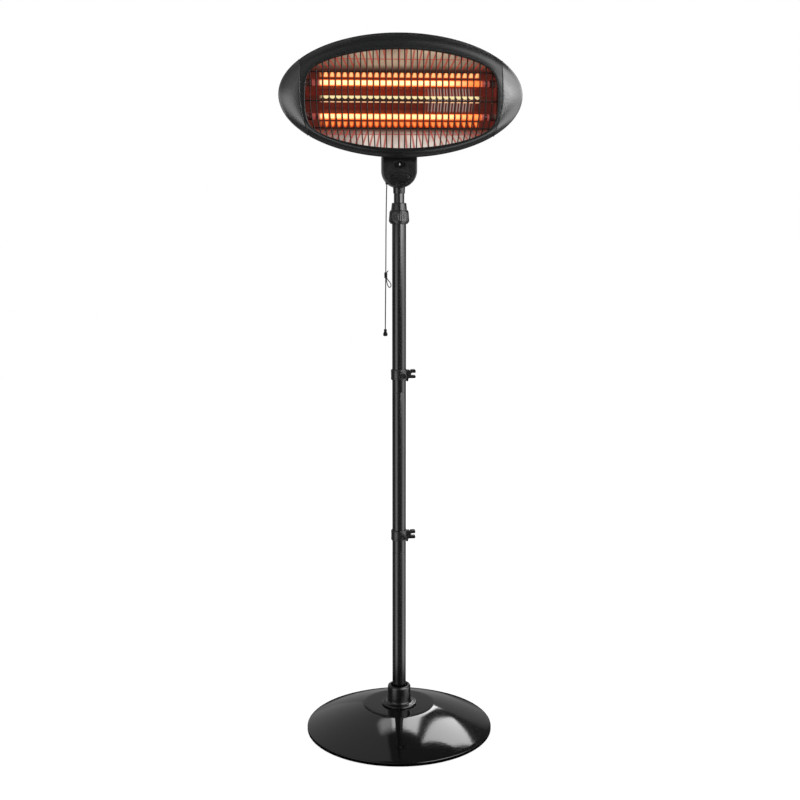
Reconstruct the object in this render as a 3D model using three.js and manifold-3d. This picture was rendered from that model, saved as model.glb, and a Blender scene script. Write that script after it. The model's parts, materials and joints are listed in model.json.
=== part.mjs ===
// Infrared patio heater on a telescopic pole: round weighted base, three-piece pole, twist-lock
// collar, switch housing with a pull cord, and a tilting oval head with two quartz tubes.
// Millimetres, +Z up, front of the heater towards -Y. Origin on the floor under the pole.
import * as THREE from 'three';
import { mergeVertices } from 'three/addons/utils/BufferGeometryUtils.js';
import Module from 'manifold-3d';

// ---------------------------------------------------------------- driving dimensions
const GAP = 0.3; // running and seating clearance between neighbouring pieces

// base
const BASE_R = 200; // outside of the base's rim
const BASE_SHEET = 1.6; // pressed cover's wall
const RIM_CLEAR = 1.5; // rim above the floor
const RIM_H = 10; // top of the upright rim
const DOME_BULGE = 2.5; // how far the cone bows out between rim and plateau
const PLATEAU_R = 79; // flat top of the base
const PLATEAU_Z = 54.5;
const FOOT_H = 3.7;
const FOOT_R = 13;
const FOOT_MARGIN = 35; // from a foot's middle to the base's rim
const PAN_T = 1.2; // bottom pan's sheet
const PAN_ACCESS_R = 20; // hole in the pan that the anchor bolt is reached through
const BALLAST_MARGIN = 22; // from the ballast's edge to the base's rim
const BOLT_R = 5; // anchor bolt's shank
const BOLT_HEAD_R = 9.5;
const BOLT_HEAD_H = 6.4;
const BOLT_POCKET_Z = 17; // ceiling of the ballast's pocket for the bolt head
const PLUG_L = 30; // threaded plug in the foot of the pole

// hub that trims the foot of the pole
const HUB_FLANGE_R = 37.5;
const HUB_FLANGE_H = 4;
const HUB_R = 25.2;
const HUB_TAPER = 0.5;
const HUB_H = 43.2;
const HUB_WALL = 2.6;
const HUB_MOUTH_R = 18.5;
const HUB_MOUTH_DEPTH = 9;

// pole
const POLE_R = 14.5;
const POLE_WALL = 1.5;
const LOWER_SECTION_L = 340.4; // lowest outer section, from the base to the first seam
const SECTION_L = 345; // middle outer section
const UPPER_SECTION_L = 359; // up to the twist-lock collar
const POLE_TOP_Z = PLATEAU_Z + GAP + LOWER_SECTION_L + SECTION_L + UPPER_SECTION_L;
const SLEEVE_L = 60; // joining sleeve
const SLEEVE_WALL = 1.5;
const INNER_R = 10.75; // telescopic tube
const INNER_WALL = 1.2;
const BUSH_L = 26;
const BUSH_LIP = 3.5;

// twist-lock collar
const COLLET_TOP_R = 15;
const COLLET_FOOT_R = 16.4;
const COLLET_H = 43; // above the collar's lower edge
const COLLET_GRIP_DEPTH = 7.7; // how far the collet reaches down over the pole
const GRIP_TOP_R = 19.7;
const GRIP_FOOT_R = 21.2;
const GRIP_H = 28.5;
const GRIP_CHAMFER = 5.5;
const GRIP_RIBS = 14;
const GRIP_RIB_DEPTH = 0.55;
const GRIP_LEDGE_T = 2; // inner ledge that the collet stands on
const GRIP_POLE_CLEAR = 1; // between that ledge and the pole

// cord clips on the pole
const CLIP_ABOVE_SEAM = 37;
const CLIP_H = 22;
const CLIP_WALL = 2.5;
const CLIP_REACH = 34.5; // tip of the hook from the pole's axis
const CLIP_T = 12; // hook's thickness, front to back
const CLIP_THROAT = 5.4; // gap between the prongs
const CLIP_THROAT_X = 26; // inner end of that gap
const CLIP_THROAT_Z = 1.2; // middle of that gap above the clip's middle
const CLIP_BOSS_R = 5.5;
const CLIP_BOSS_X = 9;
const CLIP_BOSS_Z = -1.5;
const CLIP_BOSS_Y = 19.5; // boss face in front of the pole's axis
const CLIP_SCREW_R = 1.5;
const CLIP_SCREW_HEAD_R = 2.8;

// switch housing
const HOUSING_R = 35.7; // half its width, and the radius of its round lower end
const HOUSING_Z = POLE_TOP_Z + 98.1; // centre of that round end
const HOUSING_TOP = HOUSING_Z + 31.2;
const HOUSING_FRONT = 20; // in front of the pole's axis
const HOUSING_BACK = 22;
const HOUSING_WALL = 3.2;
const HOUSING_BEVEL = 3.5;
const NECK_TOP_R = 12.4;
const NECK_FOOT_R = 12;
const NECK_L = 10.6; // below the housing
const NECK_SOCKET = 14; // how far the tube reaches up into the housing
const RECESS_W = 26; // oval dish round the indicator
const RECESS_H = 15;
const RECESS_DEPTH = 2;
const RECESS_Z = HOUSING_Z + 11.7;
const LENS_W = 2.6;
const LENS_H = 6;
const LENS_PROUD = 0.9; // above the dish's floor
const BADGE_W = 41;
const BADGE_H = 23.5;
const BADGE_Z = HOUSING_Z - 15.3;
const BADGE_T = 1.6; // depth of its seat
const BADGE_PROUD = 0.4;
const GROMMET_R = 3;
const GROMMET_BORE_R = 1.4;
const GROMMET_FOOT_Z = HOUSING_Z - 28.3;
const GROMMET_TOP_Z = GROMMET_FOOT_Z + 16;
const SWITCH_Z = GROMMET_TOP_Z + 1; // underside of both switches
const SWITCH_H = 27;
const SWITCH_LEFT = -19;
const SWITCH_RIGHT = 7;
const SWITCH_BACK = 4;
const TIP_SWITCH_LEFT = 12;
const TIP_SWITCH_RIGHT = 27;
const TIP_SWITCH_BACK = -2;
const LEVER_Z = SWITCH_Z + 10; // underside of the switch's lever at rest
const LEVER_H = 5;
const LEVER_L = 10;
const LEVER_W = 6;
const GLAND_Z = HOUSING_Z - 7.3;
const GLAND_BORE_R = 4;
const GLAND_WALL = 2;
const GLAND_R = 8.5;
const GLAND_L = 9;
const SCREW_R = 1.6;
const SCREW_HEAD_R = 3.4;
const SCREW_HEAD_H = 2;
const HOUSING_SCREW_L = 12;
const HOUSING_SCREW_X = 26;
const HOUSING_SCREW_Z = HOUSING_TOP - 14.5;

// pull cord, from the switch's lever down to the bell
const CORD_X = -25.8; // where it leaves the housing
const CORD_Y = -10;
const CORD_R = 0.8;
const CORD_STEPS = 54;
const KNOT_TOP_Z = LEVER_Z - 203;
const KNOT_FOOT_Z = KNOT_TOP_Z - 16.5;
const KNOT_X = -28.1;
const KNOT_R = 3.4;
const BELL_TOP_R = 2.6;
const BELL_FOOT_R = 4.8;
const BELL_L = 14.6;

// tilt hinge
const PIVOT_Z = HOUSING_TOP + 11.5;
const KNUCKLE_R = 10;
const KNUCKLE_IN = 18; // inner faces of the housing's two knuckles
const KNUCKLE_OUT = 30;
const HINGE_SIDE_GAP = 1;
const TILT_BOLT_R = 4;
const TILT_HEAD_R = 7;
const TILT_HEAD_L = 5;
const TILT_BOLT_SPARE = 1.5; // bolt's end past the nut
const LUG_PLATE_HALF_W = 30;
const LUG_PLATE_LOW = -69; // in the head's frame
const LUG_PLATE_HIGH = -12;
const LUG_T = 3.2;
const LUG_SCREW_X = 22;
const LUG_SCREW_Z = -58; // in the head's frame
const LUG_SCREW_L = 7;

// head, in a frame of its own: origin at the centre of the oval rim, y < 0 in front of the rim
const HEAD_RIM_Y = -62;
const HEAD_Z = PIVOT_Z + 100.7;
const HEAD_A = 243; // half width
const HEAD_B = 121; // half height
const BEZEL_RISE = 17; // window edge in front of the rim
const BEZEL_WALL = 2.2;
const BEZEL_FLANGE = 7; // depth of the rim's skirt over the rear shell
const BEZEL_LIP = 8; // depth of the window's turned-in lip
const WINDOW_DROP = 8.2; // window's centre below the rim's centre
const WINDOW_SIDE_MARGIN = 16.5; // the window's oval is this much smaller than the rim
const WINDOW_TOP_MARGIN = 26.3;
const WINDOW_END_MARGIN = 52; // its ends are cut off this far inside the rim's
const WINDOW_A = HEAD_A - WINDOW_SIDE_MARGIN;
const WINDOW_B = HEAD_B - WINDOW_TOP_MARGIN;
const WINDOW_HALF_W = HEAD_A - WINDOW_END_MARGIN;
const WINDOW_POWER = 14; // how sharp its corners are
const CREASE_MARGIN = 8; // from the window's end to the joint between bezel and end cap
const CREASE_X = WINDOW_HALF_W + CREASE_MARGIN;
const CREASE_R = 224; // radius that the joint curves in with, below mid height
const CREASE_START_Z = 5; // where it starts to curve in, in the head's frame
const CREASE_SWEEP = 40; // degrees that it curves through
const CREASE_GAP = 2.2;
const SHELL_DEPTH = 50;
const SHELL_INSET = 52; // how much smaller the flat back is than the rim
const SHELL_WALL = 1.5;
const VENT_W = 26;
const VENT_H = 4;
const VENTS_PER_ROW = 6;
const VENT_PITCH = 38;
const VENT_ROWS_Z = [46, -46];

// reflector and tubes
const TUBE_R = 6;
const TUBE_WALL = 1.2;
const TUBE_END_ROOM = 7; // from a quartz tube's end to the window's
const TUBE_SPACING = 65;
const TUBE_Y = 10;
const COIL_WIRE_R = 0.6;
const COIL_TURNS = 12;
const COIL_END_ROOM = 23; // cold end of a tube
const CERAMIC_R = 7.5;
const CERAMIC_L = 24;
const CERAMIC_OVERLAP = 8;
const TROUGH_HALF_H = 26;
const TROUGH_Y = 29;
const RIDGE_Y = 9;
const RIDGE_HALF_H = 3; // half the flat between the troughs
const TROUGH_EDGE_Y = 12;
const FLARE_Y = -5;
const REFLECTOR_T = 1;
const REFLECTOR_MARGIN = 4; // how far its edge hides behind the window's edge
const PLATE_PAST_TUBE = 4.3; // from a tube's end to the reflector's end plate
const END_PLATE_T = 1;
const END_PLATE_HALF_H = 48;
const STANDOFF_R = 4;
const STANDOFF_X = 110;

// wire guard
const WIRE_R = 1.25;
const WIRE_EDGE_ROOM = 11; // least room between the outermost wire and the window's end
const WIRE_PITCH = 12.4;
const WIRES_PER_SIDE = Math.floor((WINDOW_HALF_W - WIRE_EDGE_ROOM) / WIRE_PITCH + 0.5);
const GUARD_BOW = 4; // how far the wires bow forward
const WIRE_TUCK = 2.6; // how far the wires' ends run behind the window's edge
const WIRE_LEAN = 0.055; // how far the lower ends draw in, as a share of their distance
const CROSS_WIRES_Z = [43.5, -11.7, -64.1]; // in the head's frame
const CROSS_WIRE_SET_BACK = 1.5;

// facets
const RIM_SIDES = 40;
const POLE_SIDES = 16;
const HUB_SIDES = 20;
const TUBE_SIDES = 12;
const SMALL_SIDES = 12;
const OVAL_SIDES = 36;
const WIRE_SIDES = 4;

// ---------------------------------------------------------------- geometry helpers
const wasm = await Module();
wasm.setup();

const lerp = THREE.MathUtils.lerp;

/** Welds a geometry's vertices, drops the slivers at its poles and turns its faces outwards. */
function weld(geometry) {
  const bare = geometry.clone();
  bare.deleteAttribute('normal');
  bare.deleteAttribute('uv');
  const merged = mergeVertices(bare);
  const place = merged.getAttribute('position');
  const corners = merged.index.array;
  const kept = [];
  const [a, b, c] = [new THREE.Vector3(), new THREE.Vector3(), new THREE.Vector3()];
  let volume = 0;
  for (let i = 0; i < corners.length; i += 3) {
    const [p, q, r] = [corners[i], corners[i + 1], corners[i + 2]];
    if (p === q || q === r || r === p) continue;
    kept.push(p, q, r);
    a.fromBufferAttribute(place, p);
    b.fromBufferAttribute(place, q);
    c.fromBufferAttribute(place, r);
    volume += a.dot(b.cross(c));
  }
  merged.setIndex(volume < 0 ? kept.reverse() : kept);
  return merged;
}

/** A welded geometry as a solid that can be joined and cut. */
function solid(geometry) {
  const welded = weld(geometry);
  return new wasm.Manifold(
    new wasm.Mesh({
      numProp: 3,
      vertProperties: new Float32Array(welded.getAttribute('position').array),
      triVerts: new Uint32Array(welded.index.array),
    }),
  );
}

/** A joined or cut solid back as a geometry. */
function shape(cut) {
  const mesh = cut.getMesh();
  const geometry = new THREE.BufferGeometry();
  geometry.setAttribute('position', new THREE.BufferAttribute(mesh.vertProperties, 3));
  geometry.setIndex(new THREE.BufferAttribute(mesh.triVerts, 1));
  return geometry;
}

/** Joins solids into one. */
function join(...solids) {
  return solids.reduce((whole, next) => whole.add(next));
}

/** Turns a profile of [radius, height] points round the Z axis. */
function turn(profile, sides) {
  const points = profile.map(([r, z]) => new THREE.Vector2(r, z));
  return new THREE.LatheGeometry(points, sides).rotateX(Math.PI / 2);
}

/** The same, for a ring-shaped profile that doesn't touch the axis. */
function turnRing(profile, sides) {
  return turn([...profile, profile[0]], sides);
}

function pipe(outer, inner, low, high, sides) {
  return turnRing([[outer, low], [outer, high], [inner, high], [inner, low]], sides);
}

function rod(radius, low, high, sides) {
  return turn([[0, low], [radius, low], [radius, high], [0, high]], sides);
}

/** Points on an arc in a profile, from one angle to another in degrees. */
function arc(centreX, centreY, radius, from, to, steps) {
  return Array.from({ length: steps + 1 }, (_, i) => {
    const angle = THREE.MathUtils.degToRad(lerp(from, to, i / steps));
    return [centreX + radius * Math.cos(angle), centreY + radius * Math.sin(angle)];
  });
}

/** A shape from [x, z] points. */
function outline(points) {
  return new THREE.Shape(points.map(([x, z]) => new THREE.Vector2(x, z)));
}

/** Extrudes an X-Z outline from the front, y = near, back to y = far. */
function slab(points, near, far) {
  const geometry = new THREE.ExtrudeGeometry(outline(points), {
    depth: far - near,
    bevelEnabled: false,
  });
  return geometry.rotateX(Math.PI / 2).translate(0, far, 0);
}

/** Extrudes a Y-Z outline from x = left to x = right. */
function beam(points, left, right) {
  const geometry = new THREE.ExtrudeGeometry(outline(points), {
    depth: right - left,
    bevelEnabled: false,
  });
  return geometry.rotateX(Math.PI / 2).rotateZ(Math.PI / 2).translate(left, 0, 0);
}

function box(low, high) {
  const size = high.map((value, i) => value - low[i]);
  const middle = high.map((value, i) => (value + low[i]) / 2);
  return new THREE.BoxGeometry(...size).translate(...middle);
}

function oval(halfWidth, halfHeight, centreZ, sides) {
  return Array.from({ length: sides }, (_, i) => {
    const angle = (i / sides) * 2 * Math.PI;
    return [halfWidth * Math.cos(angle), centreZ + halfHeight * Math.sin(angle)];
  });
}

/** Skins rings of equal point counts; the ends are closed by fans, or joined to each other. */
function skin(rings, endless) {
  const count = rings[0].length;
  const points = rings.flat();
  const faces = [];
  const pairs = endless ? rings.length : rings.length - 1;
  for (let i = 0; i < pairs; i += 1) {
    const here = i * count;
    const next = ((i + 1) % rings.length) * count;
    for (let j = 0; j < count; j += 1) {
      const k = (j + 1) % count;
      faces.push(here + j, here + k, next + k, here + j, next + k, next + j);
    }
  }
  if (!endless) {
    const last = (rings.length - 1) * count;
    for (let j = 1; j < count - 1; j += 1) {
      faces.push(0, j + 1, j, last, last + j, last + j + 1);
    }
  }
  const geometry = new THREE.BufferGeometry();
  geometry.setAttribute('position', new THREE.Float32BufferAttribute(points.flat(), 3));
  geometry.setIndex(faces);
  return weld(geometry);
}

/** A round wire along points, its section's corners turned by a lean. */
function wire(points, radius, sides, lean = 0) {
  const path = new THREE.CatmullRomCurve3(points);
  const section = new THREE.Shape().absarc(0, 0, radius, lean, lean + 2 * Math.PI);
  const flat = new THREE.Shape(section.getSpacedPoints(sides).slice(0, sides));
  const steps = points.length - 1;
  return new THREE.ExtrudeGeometry(flat, { steps, extrudePath: path, bevelEnabled: false });
}

// ---------------------------------------------------------------- finishes
const finish = (color, roughness, metalness) =>
  new THREE.MeshStandardMaterial({ color, roughness, metalness });
const FINISH = {
  glossPaint: finish(0x101011, 0.12, 0.1),
  polePaint: finish(0x1b1c1d, 0.35, 0.3),
  blackPlastic: finish(0x161616, 0.5, 0),
  satinPlastic: finish(0x26282a, 0.35, 0.1),
  softRubber: finish(0x0c0c0c, 0.85, 0),
  concrete: finish(0x8a8782, 0.95, 0),
  zincSteel: finish(0xa8aaac, 0.4, 0.9),
  mirrorSheet: finish(0xd8d2c8, 0.12, 1),
  guardWire: finish(0x141210, 0.45, 0.6),
  hotQuartz: finish(0xffb050, 0.2, 0),
  hotCoil: finish(0xffd070, 0.5, 0.2),
  whiteCeramic: finish(0xe4dfd2, 0.6, 0),
  cordFabric: finish(0x202020, 0.8, 0),
  paleLens: finish(0xb8b8b4, 0.2, 0),
};

const heater = new THREE.Group();
const head = new THREE.Group();
head.position.set(0, HEAD_RIM_Y, HEAD_Z);
heater.add(head);

function piece(group, name, geometry, material) {
  const mesh = new THREE.Mesh(weld(geometry), material);
  mesh.name = name;
  group.add(mesh);
  return mesh;
}

// ---------------------------------------------------------------- base
const panFootZ = FOOT_H + GAP;
const ballastFootZ = panFootZ + PAN_T + GAP;

/** The cover's profile from its rim up to the plateau, moved inwards by a distance. */
function domeProfile(inset) {
  const rimR = BASE_R - inset;
  const edge = [BASE_R - 2 - inset, RIM_H - inset * 0.5];
  const crown = [PLATEAU_R + 2, PLATEAU_Z - 1.2 - inset];
  const cone = Array.from({ length: 4 }, (_, i) => {
    const t = i / 3;
    const bow = 4 * DOME_BULGE * t * (1 - t);
    return [lerp(edge[0], crown[0], t), lerp(edge[1], crown[1], t) + bow];
  });
  return [[rimR, RIM_H - 2 - inset * 0.5], ...cone, [PLATEAU_R - 2, PLATEAU_Z - inset]];
}

/** Height of that profile at a radius. */
function domeHeight(radius, inset) {
  const profile = domeProfile(inset);
  const next = profile.findIndex(([r]) => r <= radius);
  const [[r0, z0], [r1, z1]] = [profile[next - 1], profile[next]];
  return lerp(z0, z1, (r0 - radius) / (r0 - r1));
}

function baseCover() {
  const boltHoleR = BOLT_R + GAP;
  const outer = domeProfile(0);
  const inner = domeProfile(BASE_SHEET).reverse();
  return turnRing(
    [
      [BASE_R, RIM_CLEAR],
      ...outer,
      [boltHoleR, PLATEAU_Z],
      [boltHoleR, PLATEAU_Z - BASE_SHEET],
      ...inner,
      [BASE_R - BASE_SHEET, RIM_CLEAR],
    ],
    RIM_SIDES,
  );
}

function ballast() {
  const inset = BASE_SHEET + GAP;
  const edgeR = BASE_R - BALLAST_MARGIN;
  const top = domeProfile(inset).filter(([r]) => r < edgeR);
  return turnRing(
    [
      [BOLT_HEAD_R + 6, ballastFootZ],
      [edgeR, ballastFootZ],
      [edgeR, domeHeight(edgeR, inset)],
      ...top,
      [BOLT_R + GAP, PLATEAU_Z - BASE_SHEET - GAP],
      [BOLT_R + GAP, BOLT_POCKET_Z],
      [BOLT_HEAD_R + 6, BOLT_POCKET_Z],
    ],
    HUB_SIDES,
  );
}

function basePan() {
  const rim = BASE_R - BASE_SHEET - GAP;
  const top = panFootZ + PAN_T;
  const profile = [[PAN_ACCESS_R, panFootZ], [rim, panFootZ], [rim, top], [PAN_ACCESS_R, top]];
  return turnRing(profile, HUB_SIDES);
}

function foot() {
  const profile = [[0, 0], [FOOT_R - 1, 0], [FOOT_R, 1], [FOOT_R, FOOT_H], [0, FOOT_H]];
  return turn(profile, SMALL_SIDES);
}

function anchorBolt() {
  const headTop = BOLT_POCKET_Z - GAP;
  const tip = PLATEAU_Z + GAP + PLUG_L;
  return turn(
    [
      [0, headTop - BOLT_HEAD_H],
      [BOLT_HEAD_R, headTop - BOLT_HEAD_H],
      [BOLT_HEAD_R, headTop],
      [BOLT_R, headTop],
      [BOLT_R, tip - 1],
      [BOLT_R - 1, tip],
      [0, tip],
    ],
    6,
  );
}

function hubCover() {
  const low = PLATEAU_Z + GAP;
  const top = low + HUB_H;
  const flangeTop = low + HUB_FLANGE_H;
  const topR = HUB_R - HUB_TAPER;
  const boreR = POLE_R + GAP;
  const web = top - HUB_MOUTH_DEPTH;
  return turnRing(
    [
      [HUB_FLANGE_R, low],
      ...arc(HUB_FLANGE_R - 1.5, flangeTop - 1.5, 1.5, 0, 90, 2),
      [HUB_R + 2.5, flangeTop + 0.8],
      [HUB_R, flangeTop + 3.5],
      ...arc(topR - 3, top - 3, 3, 0, 90, 2),
      [HUB_MOUTH_R + 1, top],
      [HUB_MOUTH_R, top - 1],
      [HUB_MOUTH_R, web],
      [boreR, web],
      [boreR, web - HUB_WALL],
      [topR - HUB_WALL, web - HUB_WALL],
      [HUB_R - HUB_WALL, low + HUB_WALL],
      [HUB_FLANGE_R - HUB_WALL, low + HUB_WALL * 0.6],
      [HUB_FLANGE_R - HUB_WALL, low],
    ],
    HUB_SIDES,
  );
}

piece(heater, 'base_cover', baseCover(), FINISH.glossPaint);
piece(heater, 'ballast_disc', ballast(), FINISH.concrete);
piece(heater, 'base_pan', basePan(), FINISH.blackPlastic);
const footCircleR = BASE_R - FOOT_MARGIN;
for (let i = 0; i < 4; i += 1) {
  const angle = THREE.MathUtils.degToRad(45 + 90 * i);
  const pad = piece(heater, `foot_${i + 1}`, foot(), FINISH.softRubber);
  pad.position.set(footCircleR * Math.cos(angle), footCircleR * Math.sin(angle), 0);
}
piece(heater, 'anchor_bolt', anchorBolt(), FINISH.zincSteel);
piece(heater, 'hub_cover', hubCover(), FINISH.blackPlastic);

// ---------------------------------------------------------------- pole
const poleFootZ = PLATEAU_Z + GAP;
const seamLowZ = poleFootZ + LOWER_SECTION_L;
const seamHighZ = seamLowZ + SECTION_L;
const poleBoreR = POLE_R - POLE_WALL;

function section(low, high) {
  return pipe(POLE_R, poleBoreR, low, high, POLE_SIDES);
}

function sleeve(middle) {
  const outer = poleBoreR - GAP;
  const [low, high] = [middle - SLEEVE_L / 2, middle + SLEEVE_L / 2];
  return pipe(outer, outer - SLEEVE_WALL, low, high, POLE_SIDES);
}

const plug = pipe(poleBoreR - GAP, BOLT_R + GAP, poleFootZ, poleFootZ + PLUG_L, POLE_SIDES);
piece(heater, 'pole_plug', plug, FINISH.zincSteel);
piece(heater, 'lower_tube', section(poleFootZ, seamLowZ - GAP / 2), FINISH.polePaint);
const middleTube = section(seamLowZ + GAP / 2, seamHighZ - GAP / 2);
piece(heater, 'middle_tube', middleTube, FINISH.polePaint);
piece(heater, 'upper_tube', section(seamHighZ + GAP / 2, POLE_TOP_Z), FINISH.polePaint);
piece(heater, 'lower_joint_sleeve', sleeve(seamLowZ), FINISH.zincSteel);
piece(heater, 'upper_joint_sleeve', sleeve(seamHighZ), FINISH.zincSteel);

// ---------------------------------------------------------------- cord clips
/** Band round the pole with a two-pronged hook, a screw boss and a latch nub. */
function cordClip() {
  const throatLow = CLIP_THROAT_Z - CLIP_THROAT / 2;
  const throatHigh = CLIP_THROAT_Z + CLIP_THROAT / 2;
  const lowFace = throatLow - 5.9;
  const highFace = throatHigh + 6.7;
  const half = CLIP_H / 2;
  const bandR = POLE_R + CLIP_WALL;
  const bandEdge = [[bandR - 1, -half], [bandR, 1 - half], [bandR, half - 1], [bandR - 1, half]];
  const band = solid(turn([[0, -half], ...bandEdge, [0, half]], POLE_SIDES));
  const hook = solid(
    slab(
      [
        [POLE_R, lowFace - 1.5],
        [CLIP_THROAT_X - 4, lowFace],
        ...arc(CLIP_REACH - 2, lowFace + 2, 2, 270, 360, 2),
        ...arc(CLIP_REACH - 2, throatLow - 2, 2, 0, 90, 2),
        [CLIP_THROAT_X + 1.5, throatLow],
        [CLIP_THROAT_X, throatLow + 1.5],
        [CLIP_THROAT_X, throatHigh - 1.5],
        [CLIP_THROAT_X + 1.5, throatHigh],
        ...arc(CLIP_REACH - 2, throatHigh + 2, 2, 270, 360, 2),
        ...arc(CLIP_REACH - 2, highFace - 2, 2, 0, 90, 2),
        [CLIP_THROAT_X - 2, highFace],
        [CLIP_THROAT_X - 3.5, highFace - 2.5],
        ...arc(bandR + 2.5, highFace - 3, 3, 20, 160, 3),
        [POLE_R, highFace - 4],
      ],
      -CLIP_T / 2,
      CLIP_T / 2,
    ),
  );
  const nub = solid(
    slab(
      [
        [POLE_R - 1, -half + 4],
        [bandR + 2.5, -half + 3],
        ...arc(bandR, -half - 1, 2.4, 0, -180, 4),
      ],
      -4,
      4,
    ),
  );
  const boss = solid(
    rod(CLIP_BOSS_R, 0, CLIP_BOSS_Y, SMALL_SIDES)
      .rotateX(Math.PI / 2)
      .translate(CLIP_BOSS_X, 0, CLIP_BOSS_Z),
  );
  const pocket = solid(
    turn(
      [
        [0, CLIP_BOSS_Y - 8],
        [CLIP_SCREW_R + GAP, CLIP_BOSS_Y - 8],
        [CLIP_SCREW_R + GAP, CLIP_BOSS_Y - 2.4],
        [CLIP_SCREW_HEAD_R + GAP, CLIP_BOSS_Y - 2.4],
        [CLIP_SCREW_HEAD_R + GAP, CLIP_BOSS_Y + 1],
        [0, CLIP_BOSS_Y + 1],
      ],
      SMALL_SIDES,
    )
      .rotateX(Math.PI / 2)
      .translate(CLIP_BOSS_X, 0, CLIP_BOSS_Z),
  );
  const poleRoom = solid(rod(POLE_R + GAP, -CLIP_H, CLIP_H, POLE_SIDES));
  return shape(join(band, hook, nub, boss).subtract(poleRoom).subtract(pocket));
}

function clipScrew() {
  const seat = CLIP_BOSS_Y - 2.4 + GAP;
  return turn(
    [
      [0, CLIP_BOSS_Y - 5],
      [CLIP_SCREW_R, CLIP_BOSS_Y - 5],
      [CLIP_SCREW_R, seat],
      [CLIP_SCREW_HEAD_R, seat],
      [CLIP_SCREW_HEAD_R, seat + 1],
      [CLIP_SCREW_HEAD_R - 0.8, seat + 1.6],
      [0, seat + 1.6],
    ],
    SMALL_SIDES,
  )
    .rotateX(Math.PI / 2)
    .translate(CLIP_BOSS_X, 0, CLIP_BOSS_Z);
}

for (const [place, seam] of [['lower', seamLowZ], ['upper', seamHighZ]]) {
  const clip = piece(heater, `${place}_cord_clip`, cordClip(), FINISH.blackPlastic);
  const screw = piece(heater, `${place}_clip_screw`, clipScrew(), FINISH.zincSteel);
  clip.position.z = seam + CLIP_ABOVE_SEAM;
  screw.position.z = seam + CLIP_ABOVE_SEAM;
}

// ---------------------------------------------------------------- twist-lock collar
const ledgeTopZ = POLE_TOP_Z - COLLET_GRIP_DEPTH - GAP;
const collarFootZ = ledgeTopZ - GRIP_LEDGE_T;
const colletTopZ = collarFootZ + COLLET_H;

/** Split nose that grips the sliding tube, on a skirt over the pole's end. */
function colletBody() {
  const skirtBoreR = POLE_R + GAP;
  const noseBoreR = INNER_R + GAP;
  const gripTopZ = collarFootZ + GRIP_H;
  return turnRing(
    [
      [COLLET_FOOT_R, POLE_TOP_Z - COLLET_GRIP_DEPTH],
      [COLLET_FOOT_R, gripTopZ],
      [COLLET_TOP_R, colletTopZ - 0.8],
      [COLLET_TOP_R - 0.8, colletTopZ],
      [noseBoreR, colletTopZ],
      [noseBoreR, POLE_TOP_Z + GAP],
      [skirtBoreR, POLE_TOP_Z + GAP],
      [skirtBoreR, POLE_TOP_Z - COLLET_GRIP_DEPTH],
    ],
    POLE_SIDES,
  );
}

/** Fluted grip ring that is turned to lock or free the tube. */
function collarGrip() {
  const boreR = COLLET_FOOT_R + GAP;
  const top = collarFootZ + GRIP_H;
  const footR = POLE_R + GRIP_POLE_CLEAR;
  const ring = turnRing(
    [
      [footR, collarFootZ],
      [footR + 1.5, collarFootZ],
      [GRIP_FOOT_R, collarFootZ + GRIP_CHAMFER],
      [lerp(GRIP_FOOT_R, GRIP_TOP_R, 0.5), collarFootZ + GRIP_CHAMFER + 9],
      [GRIP_TOP_R, top - 4],
      [boreR + 1.2, top - 0.4],
      [boreR, top - 0.4],
      [boreR, ledgeTopZ],
      [footR, ledgeTopZ],
    ],
    GRIP_RIBS * 3,
  );
  const place = ring.getAttribute('position');
  for (let i = 0; i < place.count; i += 1) {
    const [x, y, z] = [place.getX(i), place.getY(i), place.getZ(i)];
    const r = Math.hypot(x, y);
    const onFlank = r > GRIP_TOP_R - 0.1;
    const phase = Math.atan2(y, x) * GRIP_RIBS;
    const flute = onFlank ? GRIP_RIB_DEPTH * (0.5 - 0.5 * Math.cos(phase)) : 0;
    place.setXYZ(i, (x * (r - flute)) / r, (y * (r - flute)) / r, z);
  }
  return ring;
}

piece(heater, 'collet_body', colletBody(), FINISH.blackPlastic);
piece(heater, 'collar_grip', collarGrip(), FINISH.blackPlastic);

// ---------------------------------------------------------------- sliding tube
const bushFootZ = seamHighZ + SLEEVE_L / 2 + GAP * 4;
const innerFootZ = bushFootZ + BUSH_LIP + GAP;
const housingFootZ = HOUSING_Z - HOUSING_R;
const innerTopZ = housingFootZ + NECK_SOCKET;

function guideBush() {
  const outer = poleBoreR - GAP;
  return turnRing(
    [
      [outer, bushFootZ],
      [outer, bushFootZ + BUSH_L],
      [INNER_R + GAP, bushFootZ + BUSH_L],
      [INNER_R + GAP, bushFootZ + BUSH_LIP],
      [INNER_R - INNER_WALL, bushFootZ + BUSH_LIP],
      [INNER_R - INNER_WALL, bushFootZ],
    ],
    POLE_SIDES,
  );
}

const innerTube = pipe(INNER_R, INNER_R - INNER_WALL, innerFootZ, innerTopZ, POLE_SIDES);
piece(heater, 'inner_tube', innerTube, FINISH.polePaint);
piece(heater, 'guide_bush', guideBush(), FINISH.blackPlastic);

// ---------------------------------------------------------------- switch housing
/** Flat-topped outline with a round lower end. */
function housingOutline(inset) {
  const r = HOUSING_R - inset;
  return [
    [r, HOUSING_TOP - inset],
    [-r, HOUSING_TOP - inset],
    ...arc(0, HOUSING_Z, r, 180, 360, 12),
  ];
}

const housingScrews = [1, -1].map((side) => [side * HOUSING_SCREW_X, HOUSING_SCREW_Z]);

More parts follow.
